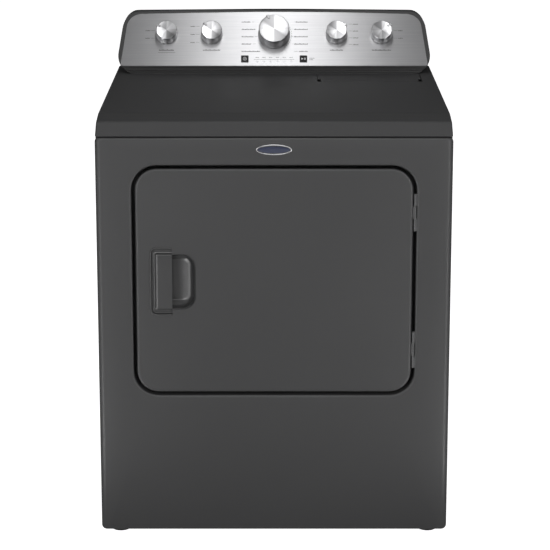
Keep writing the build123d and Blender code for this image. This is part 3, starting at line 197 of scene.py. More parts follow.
def turned_profile(profile, steps, turn_to):
    """A closed lathe shape from (radius, level) rows, its axis turned by a matrix."""
    verts = [turn_to @ Vector((0, 0, profile[0][1]))]
    for radius, level in profile[1:-1]:
        verts += [turn_to @ Vector((radius * x, radius * y, level)) for x, y in circle(steps)]
    last = len(verts)
    verts.append(turn_to @ Vector((0, 0, profile[-1][1])))
    faces = []
    for i in range(steps):
        j = (i + 1) % steps
        faces += [[0, 1 + i, 1 + j], [last, last - steps + j, last - steps + i]]
        faces += [[a + i, a + steps + i, a + steps + j, a + j] for a in range(1, last - steps, steps)]
    return verts, faces


def faces_out(mesh):
    """Turns all of a mesh's faces outward."""
    work = bmesh.new()
    work.from_mesh(mesh)
    bmesh.ops.recalc_face_normals(work, faces=work.faces)
    work.to_mesh(mesh)
    work.free()


def add_node(tree, kind, values=None, links=None, **settings):
    """A node with its settings, its constant inputs, and the sockets that feed its other inputs."""
    node = tree.nodes.new(kind)
    for label, setting in settings.items():
        setattr(node, label, setting)
    for key, value in (values or {}).items():
        node.inputs[key].default_value = value
    for key, source in (links or {}).items():
        tree.links.new(source, node.inputs[key])
    return node


def front_loop(half_across, half_up, radius, depth, middle):
    """A rounded rectangle in the front's upright plane, at a depth behind the panel's face."""
    return [
        Vector((x + middle[0], front_y + depth, z + middle[1]))
        for x, z in rounded_rectangle(half_across, half_up, radius)
    ]


def quarter(count=5):
    """Angles through a quarter turn, for rolled edges."""
    return [pi / 2 * i / count for i in range(count + 1)]


# %% [markdown]
# ## Shader groups
# Three effects are used by more than one finish, so each is a node group built once. *fine_grain* gives a
# soft, irregular height and mask from noise. *drawn_lines* stretches noise along one axis, as brushing does.
# *turned_rings* reads the distance from an axis and turns it into grooves, as a lathe does.


# %% Shader groups
def new_group(name, inputs):
    """A group that makes a height and a mask. An input is a number, or None where it is a vector."""
    tree = bpy.data.node_groups.new(name, "ShaderNodeTree")
    for label, default in inputs.items():
        kind = "NodeSocketVector" if default is None else "NodeSocketFloat"
        socket = tree.interface.new_socket(label, in_out="INPUT", socket_type=kind)
        if default is not None:
            socket.default_value = default
    for label in ("Height", "Mask"):
        tree.interface.new_socket(label, in_out="OUTPUT", socket_type="NodeSocketFloat")
    return tree, tree.nodes.new("NodeGroupInput").outputs, tree.nodes.new("NodeGroupOutput").inputs


def add_noises(tree, out, key, place, scales, details, dimensions="3D"):
    """Two noises over the same place: the first makes the height and the second the mask."""
    for result, scale, detail in zip(("Height", "Mask"), scales, details):
        noise = add_node(
            tree, "ShaderNodeTexNoise", {"Detail": detail}, {key: place, "Scale": scale},
            noise_dimensions=dimensions
        )
        tree.links.new(noise.outputs["Fac"], out[result])


def make_fine_grain():
    """Two sizes of noise: a small one for height and a large one for slow variation."""
    tree, given, out = new_group("fine_grain", {"Vector": None, "Grain": 900.0, "Drift": 3.0})
    add_noises(tree, out, "Vector", given["Vector"], (given["Grain"], given["Drift"]), (3, 4))
    return tree


def make_drawn_lines():
    """Noise stretched along X, so that it reads as fine parallel scratches."""
    tree, given, out = new_group("drawn_lines", {"Vector": None, "Stretch": 0.02, "Lines": 2500.0})
    squeeze = add_node(tree, "ShaderNodeCombineXYZ", {"Y": 1, "Z": 1}, {"X": given["Stretch"]})
    feed = {0: given["Vector"], 1: squeeze.outputs[0]}
    scaled = add_node(tree, "ShaderNodeVectorMath", None, feed, operation="MULTIPLY")
    fewer = add_node(tree, "ShaderNodeMath", {1: 0.2}, {0: given["Lines"]}, operation="MULTIPLY")
    add_noises(tree, out, "Vector", scaled.outputs[0], (given["Lines"], fewer.outputs[0]), (2, 3))
    return tree


def make_turned_rings():
    """Grooves round the Z axis of the vector it is given."""
    tree, given, out = new_group("turned_rings", {"Vector": None, "Grooves": 3000.0})
    flat = add_node(tree, "ShaderNodeVectorMath", None, {0: given["Vector"]}, operation="MULTIPLY")
    flat.inputs[1].default_value = (1, 1, 0)
    reach = add_node(tree, "ShaderNodeVectorMath", None, {0: flat.outputs[0]}, operation="LENGTH")
    fewer = add_node(tree, "ShaderNodeMath", {1: 0.15}, {0: given["Grooves"]}, operation="MULTIPLY")
    add_noises(tree, out, "W", reach.outputs["Value"], (given["Grooves"], fewer.outputs[0]), (2, 2), "1D")
    return tree


groups = {
    "fine_grain": make_fine_grain(),
    "drawn_lines": make_drawn_lines(),
    "turned_rings": make_turned_rings(),
}
print("shader groups", sorted(groups))

# %% [markdown]
# ## Finishes
# One builder makes every finish: a Principled shader whose colour drifts a little between two tones and whose
# roughness and bump come from one of the groups. Constant values are set on the shader's own sockets.


# %% Finish builder
def tone(value):
    """A colour. A single number is a neutral grey, a touch cool."""
    return (*value, 1) if isinstance(value, tuple) else (value, value, value * 1.02, 1)


def make_finish(
    name,
    dark,
    light,
    roughness,
    settings=(900, 3),
    group="fine_grain",
    bump=0.05,
    distance=0.0002,
    centre=None,
    turn=None,
    **sockets,
):
    """A named material: two tones, the ends of its roughness, and its group's own numbers in order."""
    material = bpy.data.materials.new(name)
    material.use_nodes = True
    tree = material.node_tree
    shader = tree.nodes["Principled BSDF"]
    vector = add_node(tree, "ShaderNodeTexCoord").outputs["Object"]
    if centre is not None:
        values = {"Location": centre, "Rotation": turn}
        vector = add_node(
            tree, "ShaderNodeMapping", values, {"Vector": vector}, vector_type="TEXTURE"
        ).outputs[0]
    effect = add_node(tree, "ShaderNodeGroup", node_tree=groups[group])
    tree.links.new(vector, effect.inputs["Vector"])
    for socket, value in zip(effect.inputs[1:], settings):
        socket.default_value = value
    mask = effect.outputs["Mask"]
    tones = add_node(
        tree, "ShaderNodeMix", {6: tone(dark), 7: tone(light)}, {"Factor": mask}, data_type="RGBA"
    )
    ends = {"To Min": roughness[0], "To Max": roughness[1]}
    spread = add_node(tree, "ShaderNodeMapRange", ends, {"Value": mask})
    relief = add_node(
        tree, "ShaderNodeBump", {"Strength": bump, "Distance": distance}, {"Height": effect.outputs["Height"]}
    )
    tree.links.new(tones.outputs[2], shader.inputs["Base Color"])
    tree.links.new(spread.outputs["Result"], shader.inputs["Roughness"])
    tree.links.new(relief.outputs["Normal"], shader.inputs["Normal"])
    for label, value in sockets.items():
        shader.inputs[label.replace("_", " ")].default_value = value
    return material


# %% [markdown]
# ## The finishes
# Painted steel is satin charcoal, a little flatter on top than in front. The top's copy is also a little
# darker, painted shade for the dimmer light on top. The plate is brushed across, the inside is bare and
# galvanized steel, and plastic, felt and rubber have their own grain.

# %% Finishes
fascia_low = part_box("fascia")[0]
tilt = radians(34)
enamel = make_finish(
    "charcoal_enamel", 0.037, 0.043, (0.35, 0.4), (700, 2.5), distance=0.00012, Specular_IOR_Level=0.35
)
# The top's enamel is a darker copy of the front's: painted shade, besides its flatter sheen.
shaded_top_enamel = make_finish(
    "shaded_top_enamel", 0.033, 0.038, (0.55, 0.62), (700, 2.5), distance=0.00012, Specular_IOR_Level=0.22
)
enamel_inner = make_finish("liner_enamel", 0.038, 0.045, (0.4, 0.5), (700, 4))
dark_plastic = make_finish(
    "console_plastic", 0.016, 0.021, (0.42, 0.55), (2200, 6), bump=0.25, distance=0.0001
)
handle_plastic = make_finish(
    "handle_plastic", 0.033, 0.039, (0.2, 0.28), (2000, 6), bump=0.12, distance=0.0001
)
gloss_black = make_finish(
    "button_black", 0.006, 0.009, (0.4, 0.5), (400, 9), bump=0.02, Specular_IOR_Level=0.2
)
hinge_enamel = make_finish("hinge_enamel", 0.055, 0.07, (0.3, 0.4), (700, 9))
brushed = make_finish(
    "brushed_plate", 0.29, 0.37, (0.28, 0.34), (0.012, 2600), "drawn_lines", bump=0.22,
    distance=0.00008, Metallic=1.0,
)
bare_steel = make_finish("bare_steel", 0.36, 0.5, (0.32, 0.46), (260, 14), bump=0.03, Metallic=1.0)
galvanized = make_finish("galvanized_sheet", 0.34, 0.44, (0.42, 0.55), (120, 22), bump=0.02, Metallic=0.55)
bright_steel = make_finish("screw_steel", 0.45, 0.6, (0.22, 0.34), (900, 40), Metallic=1.0)
drum_enamel = make_finish(
    "drum_enamel", 0.5, 0.58, (0.25, 0.36), (500, 5), bump=0.04, Coat_Weight=0.2, Coat_Roughness=0.2
)
pale_plastic = make_finish(
    "pale_plastic", (0.5, 0.5, 0.48), (0.6, 0.6, 0.57), (0.45, 0.6), (1500, 8), bump=0.15
)
felt = make_finish(
    "felt", (0.13, 0.125, 0.12), (0.24, 0.23, 0.21), (0.85, 0.98), (1400, 60), bump=0.9, distance=0.0006
)
rubber = make_finish("rubber", 0.012, 0.02, (0.6, 0.78), (1100, 25), bump=0.3)
lens_white = make_finish("lens_white", (0.6, 0.62, 0.65), (0.72, 0.74, 0.77), (0.2, 0.3), (500, 30))
board_green = make_finish("board_green", (0.01, 0.07, 0.03), (0.02, 0.12, 0.05), (0.35, 0.5), (900, 60))
hot_wire = make_finish(
    "heating_wire", (0.16, 0.14, 0.13), (0.3, 0.27, 0.24), (0.4, 0.6), (900, 90), Metallic=1.0
)
print_dark = make_finish("fascia_print", 0.02, 0.03, (0.5, 0.6), (900, 20))
print_pale = make_finish("button_print", 0.5, 0.6, (0.4, 0.5), (900, 20))
plate_blue = make_finish(
    "nameplate_face", (0.02, 0.025, 0.05), (0.028, 0.034, 0.065), (0.2, 0.3), (500, 30), Coat_Weight=0.5
)
mesh_grey = make_finish("filter_mesh", 0.35, 0.5, (0.4, 0.55), (900, 30))

node_finish = {
    galvanized: "rear_panel",
    bare_steel: "base_pan front_bulkhead rear_bulkhead lint_duct exhaust_pipe motor_casing heater_box "
    "motor_rotor "
    "roller_shafts idler_arm terminal_cover door_catch",
    enamel: "cabinet_side_left cabinet_side_right front_panel door_skin",
    shaded_top_enamel: "top_panel lint_lid",
    enamel_inner: "door_inner",
    hinge_enamel: "cabinet_hinge_leaves door_hinge_leaves",
    dark_plastic: "console_housing thermostats door_switch terminal_block lint_screen",
    handle_plastic: "door_handle",
    gloss_black: "button_left button_right",
    brushed: "fascia",
    drum_enamel: "drum",
    pale_plastic: "drum_baffles front_glides blower_housing blower_wheel idler_pulley "
    "door_strike door_switch_plunger",
    felt: "drum_seals door_seal",
    rubber: "belt roller_left roller_right foot_front_left foot_front_right foot_rear_left foot_rear_right",
    lens_white: "indicator_lenses",
    board_green: "control_board",
    hot_wire: "heater_coils",
    bright_steel: "rear_screws cycle_knob temperature_knob extra_power_knob options_knob cycle_signal_knob",
    plate_blue: "nameplate",
    mesh_grey: "lint_mesh",
}
for material, names in node_finish.items():
    for name in names.split():
        mesh = frame["nodes"][name].data
        mesh.materials.clear()
        mesh.materials.append(material)
print("finishes", len(node_finish))

# %% [markdown]
# ## Studio
# The camera looks down far enough to see only floor, so one large sheet of white paper is the whole
# background. The sky is a wide soft source: brightest in front, dim overhead and behind, which keeps the top
# darker than the front. Long strips low on the floor draw the light lines down the cabinet's rolled edges,
# and upright strips beside it light the flanks. The brushed plate mirrors a tall narrow card above it in its
# middle. The soft lights high at the sides and behind serve the oblique views.


# %% Studio
def make_stage():
    """One large sheet of white paper. A glow that only the camera sees keeps it white to the corners."""
    half, glow = 30.0, 1.0
    mesh = bpy.data.meshes.new("studio_paper")
    mesh.from_pydata(
        [(-half, -half, 0), (half, -half, 0), (half, half, 0), (-half, half, 0)], [], [[0, 1, 2, 3]]
    )
    paper_floor = bpy.data.objects.new("studio_paper", mesh)
    bpy.context.scene.collection.objects.link(paper_floor)
    paper = make_finish("paper", (0.86, 0.86, 0.86), (0.89, 0.89, 0.89), (0.85, 0.95), bump=0.0)
    tree = paper.node_tree
    seen = add_node(tree, "ShaderNodeLightPath").outputs["Is Camera Ray"]
    level = add_node(tree, "ShaderNodeMath", {1: glow}, {0: seen}, operation="MULTIPLY")
    shader = tree.nodes["Principled BSDF"]
    shader.inputs["Emission Color"].default_value = (1, 1, 1, 1)
    tree.links.new(level.outputs[0], shader.inputs["Emission Strength"])
    mesh.materials.append(paper)


def make_sky(front, back, overhead):
    """A dim sky, brightest in front. The camera itself sees it white."""
    low_edge, high_edge = 0.3, 0.85
    world = bpy.data.worlds.new("studio_sky")
    bpy.context.scene.world = world
    world.use_nodes = True
    tree = world.node_tree
    way = add_node(tree, "ShaderNodeTexCoord").outputs["Generated"]
    parts = add_node(tree, "ShaderNodeSeparateXYZ", None, {0: way}).outputs
    ends = {"From Min": -1, "To Min": front, "To Max": back}
    along = add_node(tree, "ShaderNodeMapRange", ends, {"Value": parts["Y"]})
    edges = {"From Min": low_edge, "From Max": high_edge}
    upward = add_node(
        tree, "ShaderNodeMapRange", edges, {"Value": parts["Z"]}, interpolation_type="SMOOTHSTEP"
    )
    feed = {"Factor": upward.outputs["Result"], 2: along.outputs["Result"]}
    blend = add_node(tree, "ShaderNodeMix", {3: overhead}, feed)
    feed = {0: blend.outputs[0], 1: add_node(tree, "ShaderNodeLightPath").outputs["Is Camera Ray"]}
    chosen = add_node(tree, "ShaderNodeMath", None, feed, operation="MAXIMUM")
    tree.nodes["Background"].inputs["Color"].default_value = (1, 1, 1, 1)
    tree.links.new(chosen.outputs[0], tree.nodes["Background"].inputs["Strength"])


def area_light(name, place, target, size, radiance, floor_side=0):
    """A rectangular soft light aimed at a point. One that lies on the floor runs out from a cabinet edge."""
    data = bpy.data.lights.new(name, "AREA")
    data.shape = "RECTANGLE"
    data.size, data.size_y = size
    data.energy = radiance * pi * size[0] * size[1]
    light = bpy.data.objects.new(name, data)
    light.location = place
    light.visible_camera = False
    light.rotation_euler = (Vector(target) - Vector(place)).to_track_quat("-Z", "Y").to_euler()
    if floor_side:
        light.rotation_euler = (pi, 0, floor_side * floor_turn)
    bpy.context.scene.collection.objects.link(light)


# The strips on the floor run out from the cabinet's corners along this direction.
floor_turn = atan2(0.447, 0.885)
make_stage()
make_sky(front=0.12, back=0.04, overhead=0.06)
area_light("front_soft", (0, -6.0, 3.4), (0, 0, 0.5), (4.0, 2.0), 3.9)
area_light("console_card", (0, -0.39, 2.10), (0, 0.27, 0.98), (0.34, 1.6), 4.7)
for side, place in ((-1, "left"), (1, "right")):
    area_light("edge_strip_" + place, (side * 2.3, -4.2, 1.1), (side * 0.3, -0.3, 0.5), (0.35, 2.2), 16.0)
    area_light("low_strip_" + place, (side * 1.41, -2.44, 0.02), (0, 0, 0), (0.09, 4.0), 14.0, side)
    area_light("high_soft_" + place, (side * 2.2, -1.9, 3.6), (0, 0.1, 0.8), (2.0, 2.0), 1.1)
    area_light("back_soft_" + place, (side * 4.2, 3.6, 1.8), (0, 0.2, 0.5), (1.6, 2.0), 4.0)
bpy.context.scene.view_settings.view_transform = "Standard"

# %% [markdown]
# ## Front panel
# The real panel is one pressing: it rolls back at its edges, and rolls in again around the door. A loft says
# that directly. Each loop is a rounded rectangle with the same number of points, and the skin runs from the
# side returns over the face, round the opening's rolled edge, down the recess and into the throat.

# %% Front panel
skin_low, skin_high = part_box("front_panel")
door_low, door_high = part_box("door_skin")
skin_middle = (0.0, (skin_low.z + skin_high.z) / 2)
door_middle = (0.0, (door_low.z + door_high.z) / 2)
skin_half = (skin_high.x, (skin_high.z - skin_low.z) / 2)
door_half = (door_high.x, (door_high.z - door_low.z) / 2)
door_corner = 0.045
door_gap = 0.0085
recess_depth = 0.040
throat_half = (0.235, 0.190)
throat_corner = 0.150
wrap_depth = 0.018


def grown_loops(half, corner, rows):
    """Rounded rectangles round the door's middle. Each row says how far one grows and how deep it lies."""
    return [
        front_loop(half[0] + grow, half[1] + grow, corner + grow, depth, door_middle) for grow,
        depth in rows
    ]


def add_sheet(piece, thickness=0.0009):
    """Gives a skin the thickness of its sheet, on the inside."""
    sheet = piece.modifiers.new("sheet", "SOLIDIFY")
    sheet.thickness = thickness
    sheet.offset = -1
    return piece


def make_front_panel():
    """The lofted pressing, given its sheet's thickness on the inside."""
    side_roll, side_depth, end_roll, panel_corner = 0.011, 0.0055, 0.003, 0.009
    opening_roll, opening_depth, recess_roll, throat_roll, throat_end = 0.0065, 0.0026, 0.006, 0.004, 0.053
    opening = (door_half[0] + door_gap, door_half[1] + door_gap)
    opening_corner = door_corner + door_gap
    turns = [(1 - cos(turn), 1 - sin(turn)) for turn in quarter()]
    loops = [front_loop(skin_half[0], skin_half[1], panel_corner, wrap_depth, skin_middle)]
    for rising, falling in turns:
        across, up = skin_half[0] - side_roll * rising, skin_half[1] - end_roll * rising
        loops.append(front_loop(across, up, panel_corner, side_depth * falling, skin_middle))
    rows = [(opening_roll * falling, opening_depth * rising) for rising, falling in turns]
    rows += [(-recess_roll * rising, recess_depth - recess_roll * falling) for rising, falling in turns]
    loops += grown_loops(opening, opening_corner, rows)
    rows = [(throat_roll * falling, recess_depth + throat_roll * rising) for rising, falling in turns]
    loops += grown_loops(throat_half, throat_corner, [*rows, (0.0, throat_end)])
    verts, faces = loft(loops)
    faces = [face[::-1] for face in faces]
    piece = make_piece(
        "front_panel_pressing", verts, faces, enamel, "cabinet", 40, ("front_panel",)
    )
    return add_sheet(piece)


front_pressing = make_front_panel()
print("front panel", len(front_pressing.data.polygons), "faces")

# %% [markdown]
# ## Door skin
# The door is a deep pan of the same steel. Its rim is rolled over with a small radius, which is what draws a
# thin light line beside the dark gap. The flat face is filled between the roll and the handle's cut-out, so
# the hole is a real hole with a turned-in flange.

# %% Handle outline and door skin
handle_low, handle_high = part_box("door_handle")
pocket_left = -0.2126
pocket_wall = 0.002
pocket_right = handle_high.x - pocket_wall
pocket_half = 0.0575
pocket_corner = 0.028
rim_corner = 0.0145
rim_half = (handle_high.z - handle_low.z) / 2


def rim_run(left, right, half, radius, count=8):
    """The rim's outline from its upper right end round the left side to its lower right end."""
    radius = max(radius, 0.0003)
    upper = arc((left + radius, half - radius), radius, 90, 180, count)
    lower = arc((left + radius, radius - half), radius, 180, 270, count)
    return [(right, half), *upper, *lower, (right, -half)]


def handle_outline(grow):
    """The whole handle's outline: the tall rim at the left and the pocket at the right."""
    half = pocket_half + pocket_wall + grow
    right = pocket_right + pocket_wall + grow
    radius = pocket_corner + grow
    edge = pocket_left + grow
    rim = rim_run(handle_low.x - grow, edge, rim_half + grow, rim_corner + grow)
    lower = arc((right - radius, radius - half), radius, 270, 360)
    upper = arc((right - radius, half - radius), radius, 0, 90)
    return [*rim, (edge, -half), *lower, *upper, (edge, half)]


def on_door(points, depth):
    """Flat points placed on the door's front at a depth, heights counted from the door's middle."""
    return [Vector((x, front_y + depth, z + door_middle[1])) for x, z in points]


def make_door_skin():
    """Rim roll, flat face round the handle's hole, and the hole's flange."""
    roll, roll_width, skin_depth, flange = 0.0024, 0.006, 0.0275, 0.0016
    rows = [(0.0, skin_depth)]
    rows += [(-roll_width * (1 - cos(turn)), roll * (1 - sin(turn))) for turn in quarter()]
    loops = grown_loops(door_half, door_corner, rows)
    verts, faces = loft(loops)
    outer = loops[-1]
    first_outer = len(verts) - len(outer)
    hole = on_door(handle_outline(0.0002), 0.0)
    first_hole = len(verts)
    inner = on_door(handle_outline(0.0002), flange)
    verts += hole + inner
    count = len(hole)
    for triangle in tessellate_polygon([outer, hole]):
        corners = [first_outer + i if i < len(outer) else first_hole + i - len(outer) for i in triangle]
        faces.append(corners)
    for i in range(count):
        a, b = first_hole + i, first_hole + (i + 1) % count
        faces.append([a, b, b + count, a + count])
    mesh = bpy.data.meshes.new("door_skin_pressing")
    mesh.from_pydata(verts, [], faces)
    faces_out(mesh)
    if max(mesh.polygons, key=lambda face: face.area).normal.y > 0:
        mesh.flip_normals()
    piece = finish_piece("door_skin_pressing", mesh, enamel, "door", 40, ("door_skin",))
    return add_sheet(piece)


door_pressing = make_door_skin()
print("door skin", len(door_pressing.data.polygons), "faces")

# %% [markdown]
# ## Door handle
# The pull is moulded plastic: a raised rim, a groove inside it, a flat tab, and a deep pocket whose back
# curves up to the right wall. The rim, groove and tab are one open loft, so the tab ends at the pocket in a
# real moulded edge that fingers can hook behind. The pocket is a lofted cup under it.


# %% Door handle
def make_handle_front():
    """Rim, groove and tab, from the outside in. The tab's left edge slopes wider than its ends."""
    tab_left, tab_half, corner = pocket_left - 0.035, 0.05925, 0.003
    rim_rows = [(0.0, 0.0015), (0.0, -0.0002), (0.0007, -0.0008), (0.0018, -0.001), (0.0029, -0.0007)]
    rim_rows += [(0.0036, 0.0002), (0.0040, 0.0030), (0.0046, 0.0056), (0.0060, 0.0064)]
    tab_rows = [
        (-0.0012, -0.0012, 0.0064), (0.0, 0.0, 0.0050), (0.0002, 0.0002, 0.0004),
        (0.0007, 0.0006, -0.0003)
    ]
    tab_rows += [(0.0013, 0.0012, -0.0006), (0.0045, 0.0020, -0.0013), (0.0054, 0.0030, -0.0014)]
    runs = [
        on_door(rim_run(handle_low.x + inset, pocket_left, rim_half - inset, rim_corner - inset), depth)
        for inset, depth in rim_rows
    ]
    for across, upward, depth in tab_rows:
        runs.append(
            on_door(rim_run(tab_left + across, pocket_left, tab_half - upward, corner - upward), depth)
        )
    count = len(runs[0])
    verts = [point for run in runs for point in run]
    faces = []
    for row in range(len(runs) - 1):
        for i in range(count - 1):
            a = row * count + i
            faces.append([a, a + count, a + count + 1, a + 1])
    last = (len(runs) - 1) * count
    faces.append([last + i for i in range(count)])
    return verts, faces


def make_pocket():
    """The cup the fingers go into, its back sloping up to the right. Its left end lies under the tab."""
    cavity_left, tab_back = pocket_left - 0.031, 0.0042
    rows = [(-0.0018, -0.0018, 0.001), (-0.0017, -0.0017, 0.0002), (-0.0012, -0.0012, -0.0003)]
    rows += [(-0.0005, -0.0005, 0.0), (0.0, 0.0, 0.0008), (0.0002, 0.0002, 0.002), (0.001, 0.001, 0.006)]
    rows += [(0.0016, 0.0016, 0.0095), (0.0026, 0.0026, 0.0125), (0.0042, 0.0042, 0.015)]
    rows += [
        (0.0062, 0.0062, 0.0168), (0.0085, 0.0082, 0.0181), (0.011, 0.01, 0.0189), (0.015, 0.011, 0.0197)
    ]
    rows += [(0.02, 0.0118, 0.0207), (0.025, 0.0126, 0.0216), (0.029, 0.0136, 0.0222), (0.033, 0.015, 0.0225)]
    loops = []
    for across, upward, depth in rows:
        left, right = cavity_left + min(across, 0.004), pocket_right - across
        middle = ((left + right) / 2, door_middle[1])
        radius = max(pocket_corner - across, 0.009)
        points = front_loop((right - left) / 2, pocket_half - upward, radius, 0, middle)
        for point in points:
            here = max(depth, tab_back) if point.x < pocket_left + 0.0005 else depth
            point.y = front_y + here
        loops.append(points)
    return loft(loops, close_end=True)


def make_handle():
    """Both mouldings as one piece."""
    verts, faces = joined([make_handle_front(), make_pocket()])
    mesh = bpy.data.meshes.new("door_pull")
    mesh.from_pydata(verts, [], faces)
    faces_out(mesh)
    piece = finish_piece("door_pull", mesh, handle_plastic, "door", 50, ("door_handle",))
    return piece


door_pull = make_handle()
print("door pull", len(door_pull.data.polygons), "faces")

# %% [markdown]
# ## Control knobs
# Each knob is spun metal over a moulded body: a dished face, a thin bright edge, a straight wall, a groove
# and a skirt. A profile turned round the knob's own axis gives that exactly. The pointer is a small bright
# bar on the rim. The face's two-lobed sheen is a painted highlight: light and dark sectors painted into the
# metal's colour round each knob's axis.


# %% Knob finish
def make_painted_sheen_sectors():
    """Painted highlight: light and dark sectors round the Z axis of the vector, painted where spun metal
    shows its sheen.
    """
    tree, given, out = new_group("painted_knob_sheen", {"Vector": None})
    angle = add_node(tree, "ShaderNodeTexGradient", None, {"Vector": given["Vector"]}, gradient_type="RADIAL")
    twice = add_node(tree, "ShaderNodeMath", {1: 2}, {0: angle.outputs["Fac"]}, operation="MULTIPLY")
    part_turn = add_node(tree, "ShaderNodeMath", None, {0: twice.outputs[0]}, operation="FRACT")
    ramp = add_node(tree, "ShaderNodeValToRGB", None, {"Fac": part_turn.outputs[0]})
    # Painted sheen: grey levels round the turn, bright lobes and dark lobes as a light would draw them on
    # spun metal.
    stops = ((0.0, 0.62), (0.05, 0.95), (0.27, 1.0), (0.36, 0.6), (0.46, 0.75), (0.52, 0.2), (0.78, 0.1))
    stops += ((0.87, 0.6), (0.96, 0.75), (1.0, 0.62))
    while len(ramp.color_ramp.elements) < len(stops):
        ramp.color_ramp.elements.new(0.5)
    for element, (place, value) in zip(ramp.color_ramp.elements, stops):
        element.position = place
        element.color = (value, value, value, 1)
    tree.links.new(ramp.outputs["Color"], out["Mask"])
    return tree


groups["painted_knob_sheen"] = make_painted_sheen_sectors()
plane_turn = (pi / 2 - tilt, 0, 0)


def make_knob_finish(name, centre, painted_light_gain):
    """Spun metal about one knob's axis: turned rings for relief, and painted sheen sectors for its colour, a
    painted highlight. The gain scales that painted colour up, as painted light.
    """
    material = make_finish(
        name, 0.16 * painted_light_gain, 0.5 * painted_light_gain, (0.26, 0.34), (4200.0,), "turned_rings", bump=0.04, distance=0.00006,
        Metallic=1.0, centre=centre, turn=plane_turn,
    )
    nodes, links = material.node_tree.nodes, material.node_tree.links
    sheen_painter = nodes.new("ShaderNodeGroup")
    sheen_painter.node_tree = groups["painted_knob_sheen"]
    mapping = next(node for node in nodes if node.type == "MAPPING")
    tones = next(node for node in nodes if node.type == "MIX")
    links.new(mapping.outputs["Vector"], sheen_painter.inputs["Vector"])
    links.new(sheen_painter.outputs["Mask"], tones.inputs["Factor"])
    return material


# %% [markdown]
# ## The five knobs
# Each knob is turned about its own axis on the slope, with its pointer. The middle one is the largest.

# %% Knobs
slope_up = Vector((0, sin(tilt), cos(tilt)))
slope_out = Vector((0, -cos(tilt), sin(tilt)))
plate_foot = Vector((0, fascia_low.y, fascia_low.z)) + slope_out * 0.001 * sin(tilt) * sin(tilt)


def on_fascia(x, up, out=0.0):
    """A point given across, up the slope and out of the brushed plate."""
    return plate_foot + Vector((x, 0, 0)) + slope_up * up + slope_out * out


def make_knob(name, face, skirt, top, across, pointer_turn):
    """One knob, turned about its own axis and stood on the slope: face radius, skirt radius and height."""
    centre = on_fascia(across, knob_row, 0.0008)
    profile = [(0.0, top - 0.0012), (face * 0.5, top - 0.0009), (face - 0.0022, top - 0.0002)]
    profile += [(face - 0.0012, top), (face - 0.0004, top - 0.0004), (face, top - 0.0013)]
    profile += [(face - 0.0002, top * 0.55), (face + 0.0004, top * 0.3), (face + 0.0004, 0.0052)]
    profile += [(face - 0.0012, 0.0046), (face - 0.0012, 0.0036), (skirt - 0.0009, 0.0032)]
    profile += [(skirt - 0.0002, 0.0026), (skirt, 0.0018), (skirt, 0.0004), (skirt - 0.0006, 0.0)]
    profile += [(0.003, 0.0), (0.003, -0.0288), (0.0, -0.0288)]
    place = Matrix.Translation(centre) @ Matrix.Rotation(pi / 2 - tilt, 4, "X")
    verts, faces = turned_profile(profile, 96, place)
    bar = pointer_bar(face, top, place @ Matrix.Rotation(radians(pointer_turn), 4, "Z"))
    verts, faces = joined([(verts, faces), bar])
    # The small knobs get a brighter copy of the same metal: painted light, for the weaker light they catch.
    finish = make_knob_finish(name + "_spun_painted_sheen", tuple(centre), 1.0 if name == "cycle_knob" else 1.35)
    return make_piece(name + "_finished", verts, faces, finish, name, 28, (name,))


def pointer_bar(face_radius, height, place):
    """The pointer: a bar with softened edges, from near the knob's face edge to just outside it."""
    reach, length, half_wide, lift, soft = 0.0025, 0.010, 0.0025, 0.0008, 0.0006
    near, far = face_radius + reach - length, face_radius + reach
    layers = ((0.0030, 0.0), (height + lift - soft, 0.0), (height + lift, soft))
    verts = []
    for level, inset in layers:
        for x, y in ((near, -half_wide), (far, -half_wide), (far, half_wide), (near, half_wide)):
            shrink_x = inset if x == near else -inset
            shrink_y = inset if y < 0 else -inset
            verts.append(place @ Vector((x + shrink_x, y + shrink_y, level)))
    faces = [[3, 2, 1, 0], [8, 9, 10, 11]]
    for row in (0, 4):
        faces += [[row + i, row + (i + 1) % 4, row + 4 + (i + 1) % 4, row + 4 + i] for i in range(4)]
    return verts, faces


# Each knob's row: its place across, its pointer's turn, how many marks stand beside it, on which side and how
# long they are, and the length of the title under it.
knobs = {
    "extra_power_knob": (-0.248, 150, 2, -1, 0.0105, 0.034),
    "temperature_knob": (-0.144, 135, 3, -1, 0.0105, 0.041),
    "cycle_knob": (0.0, 115, 0, 0, 0.0, 0.0),
    "options_knob": (0.144, 35, 4, 1, 0.0125, 0.030),
    "cycle_signal_knob": (0.248, 35, 2, 1, 0.0105, 0.044),
}
knob_row = 0.080
large_knob, small_knob = (0.035, 0.037, 0.032), (0.0235, 0.025, 0.024)
for knob_name, row in knobs.items():
    make_knob(knob_name, *(large_knob if knob_name == "cycle_knob" else small_knob), *row[:2])
print("knobs", len(knobs), "plate foot", [round(v, 4) for v in plate_foot])

# %% [markdown]
# ## Printing on the brushed plate
# Words on the real plate are only a texture at this distance, so they are made here as rows of tiny upright
# strokes that spell nothing. Pointer lines run from each row to its knob. Everything is one thin mesh that
# lies on the plate.


# %% Fascia print
mark_height = 0.0001


def flat_block(x0, x1, up0, up1, lift=0.00004):
    """A very thin slab on the brushed plate, in the plate's own directions."""
    corners = ((x0, up0), (x1, up0), (x1, up1), (x0, up1))
    verts = [on_fascia(x, up, out) for out in (lift, lift + mark_height) for x, up in corners]
    sides = [[i, (i + 1) % 4, 4 + (i + 1) % 4, 4 + i] for i in range(4)]
    return verts, [[3, 2, 1, 0], [4, 5, 6, 7], *sides]


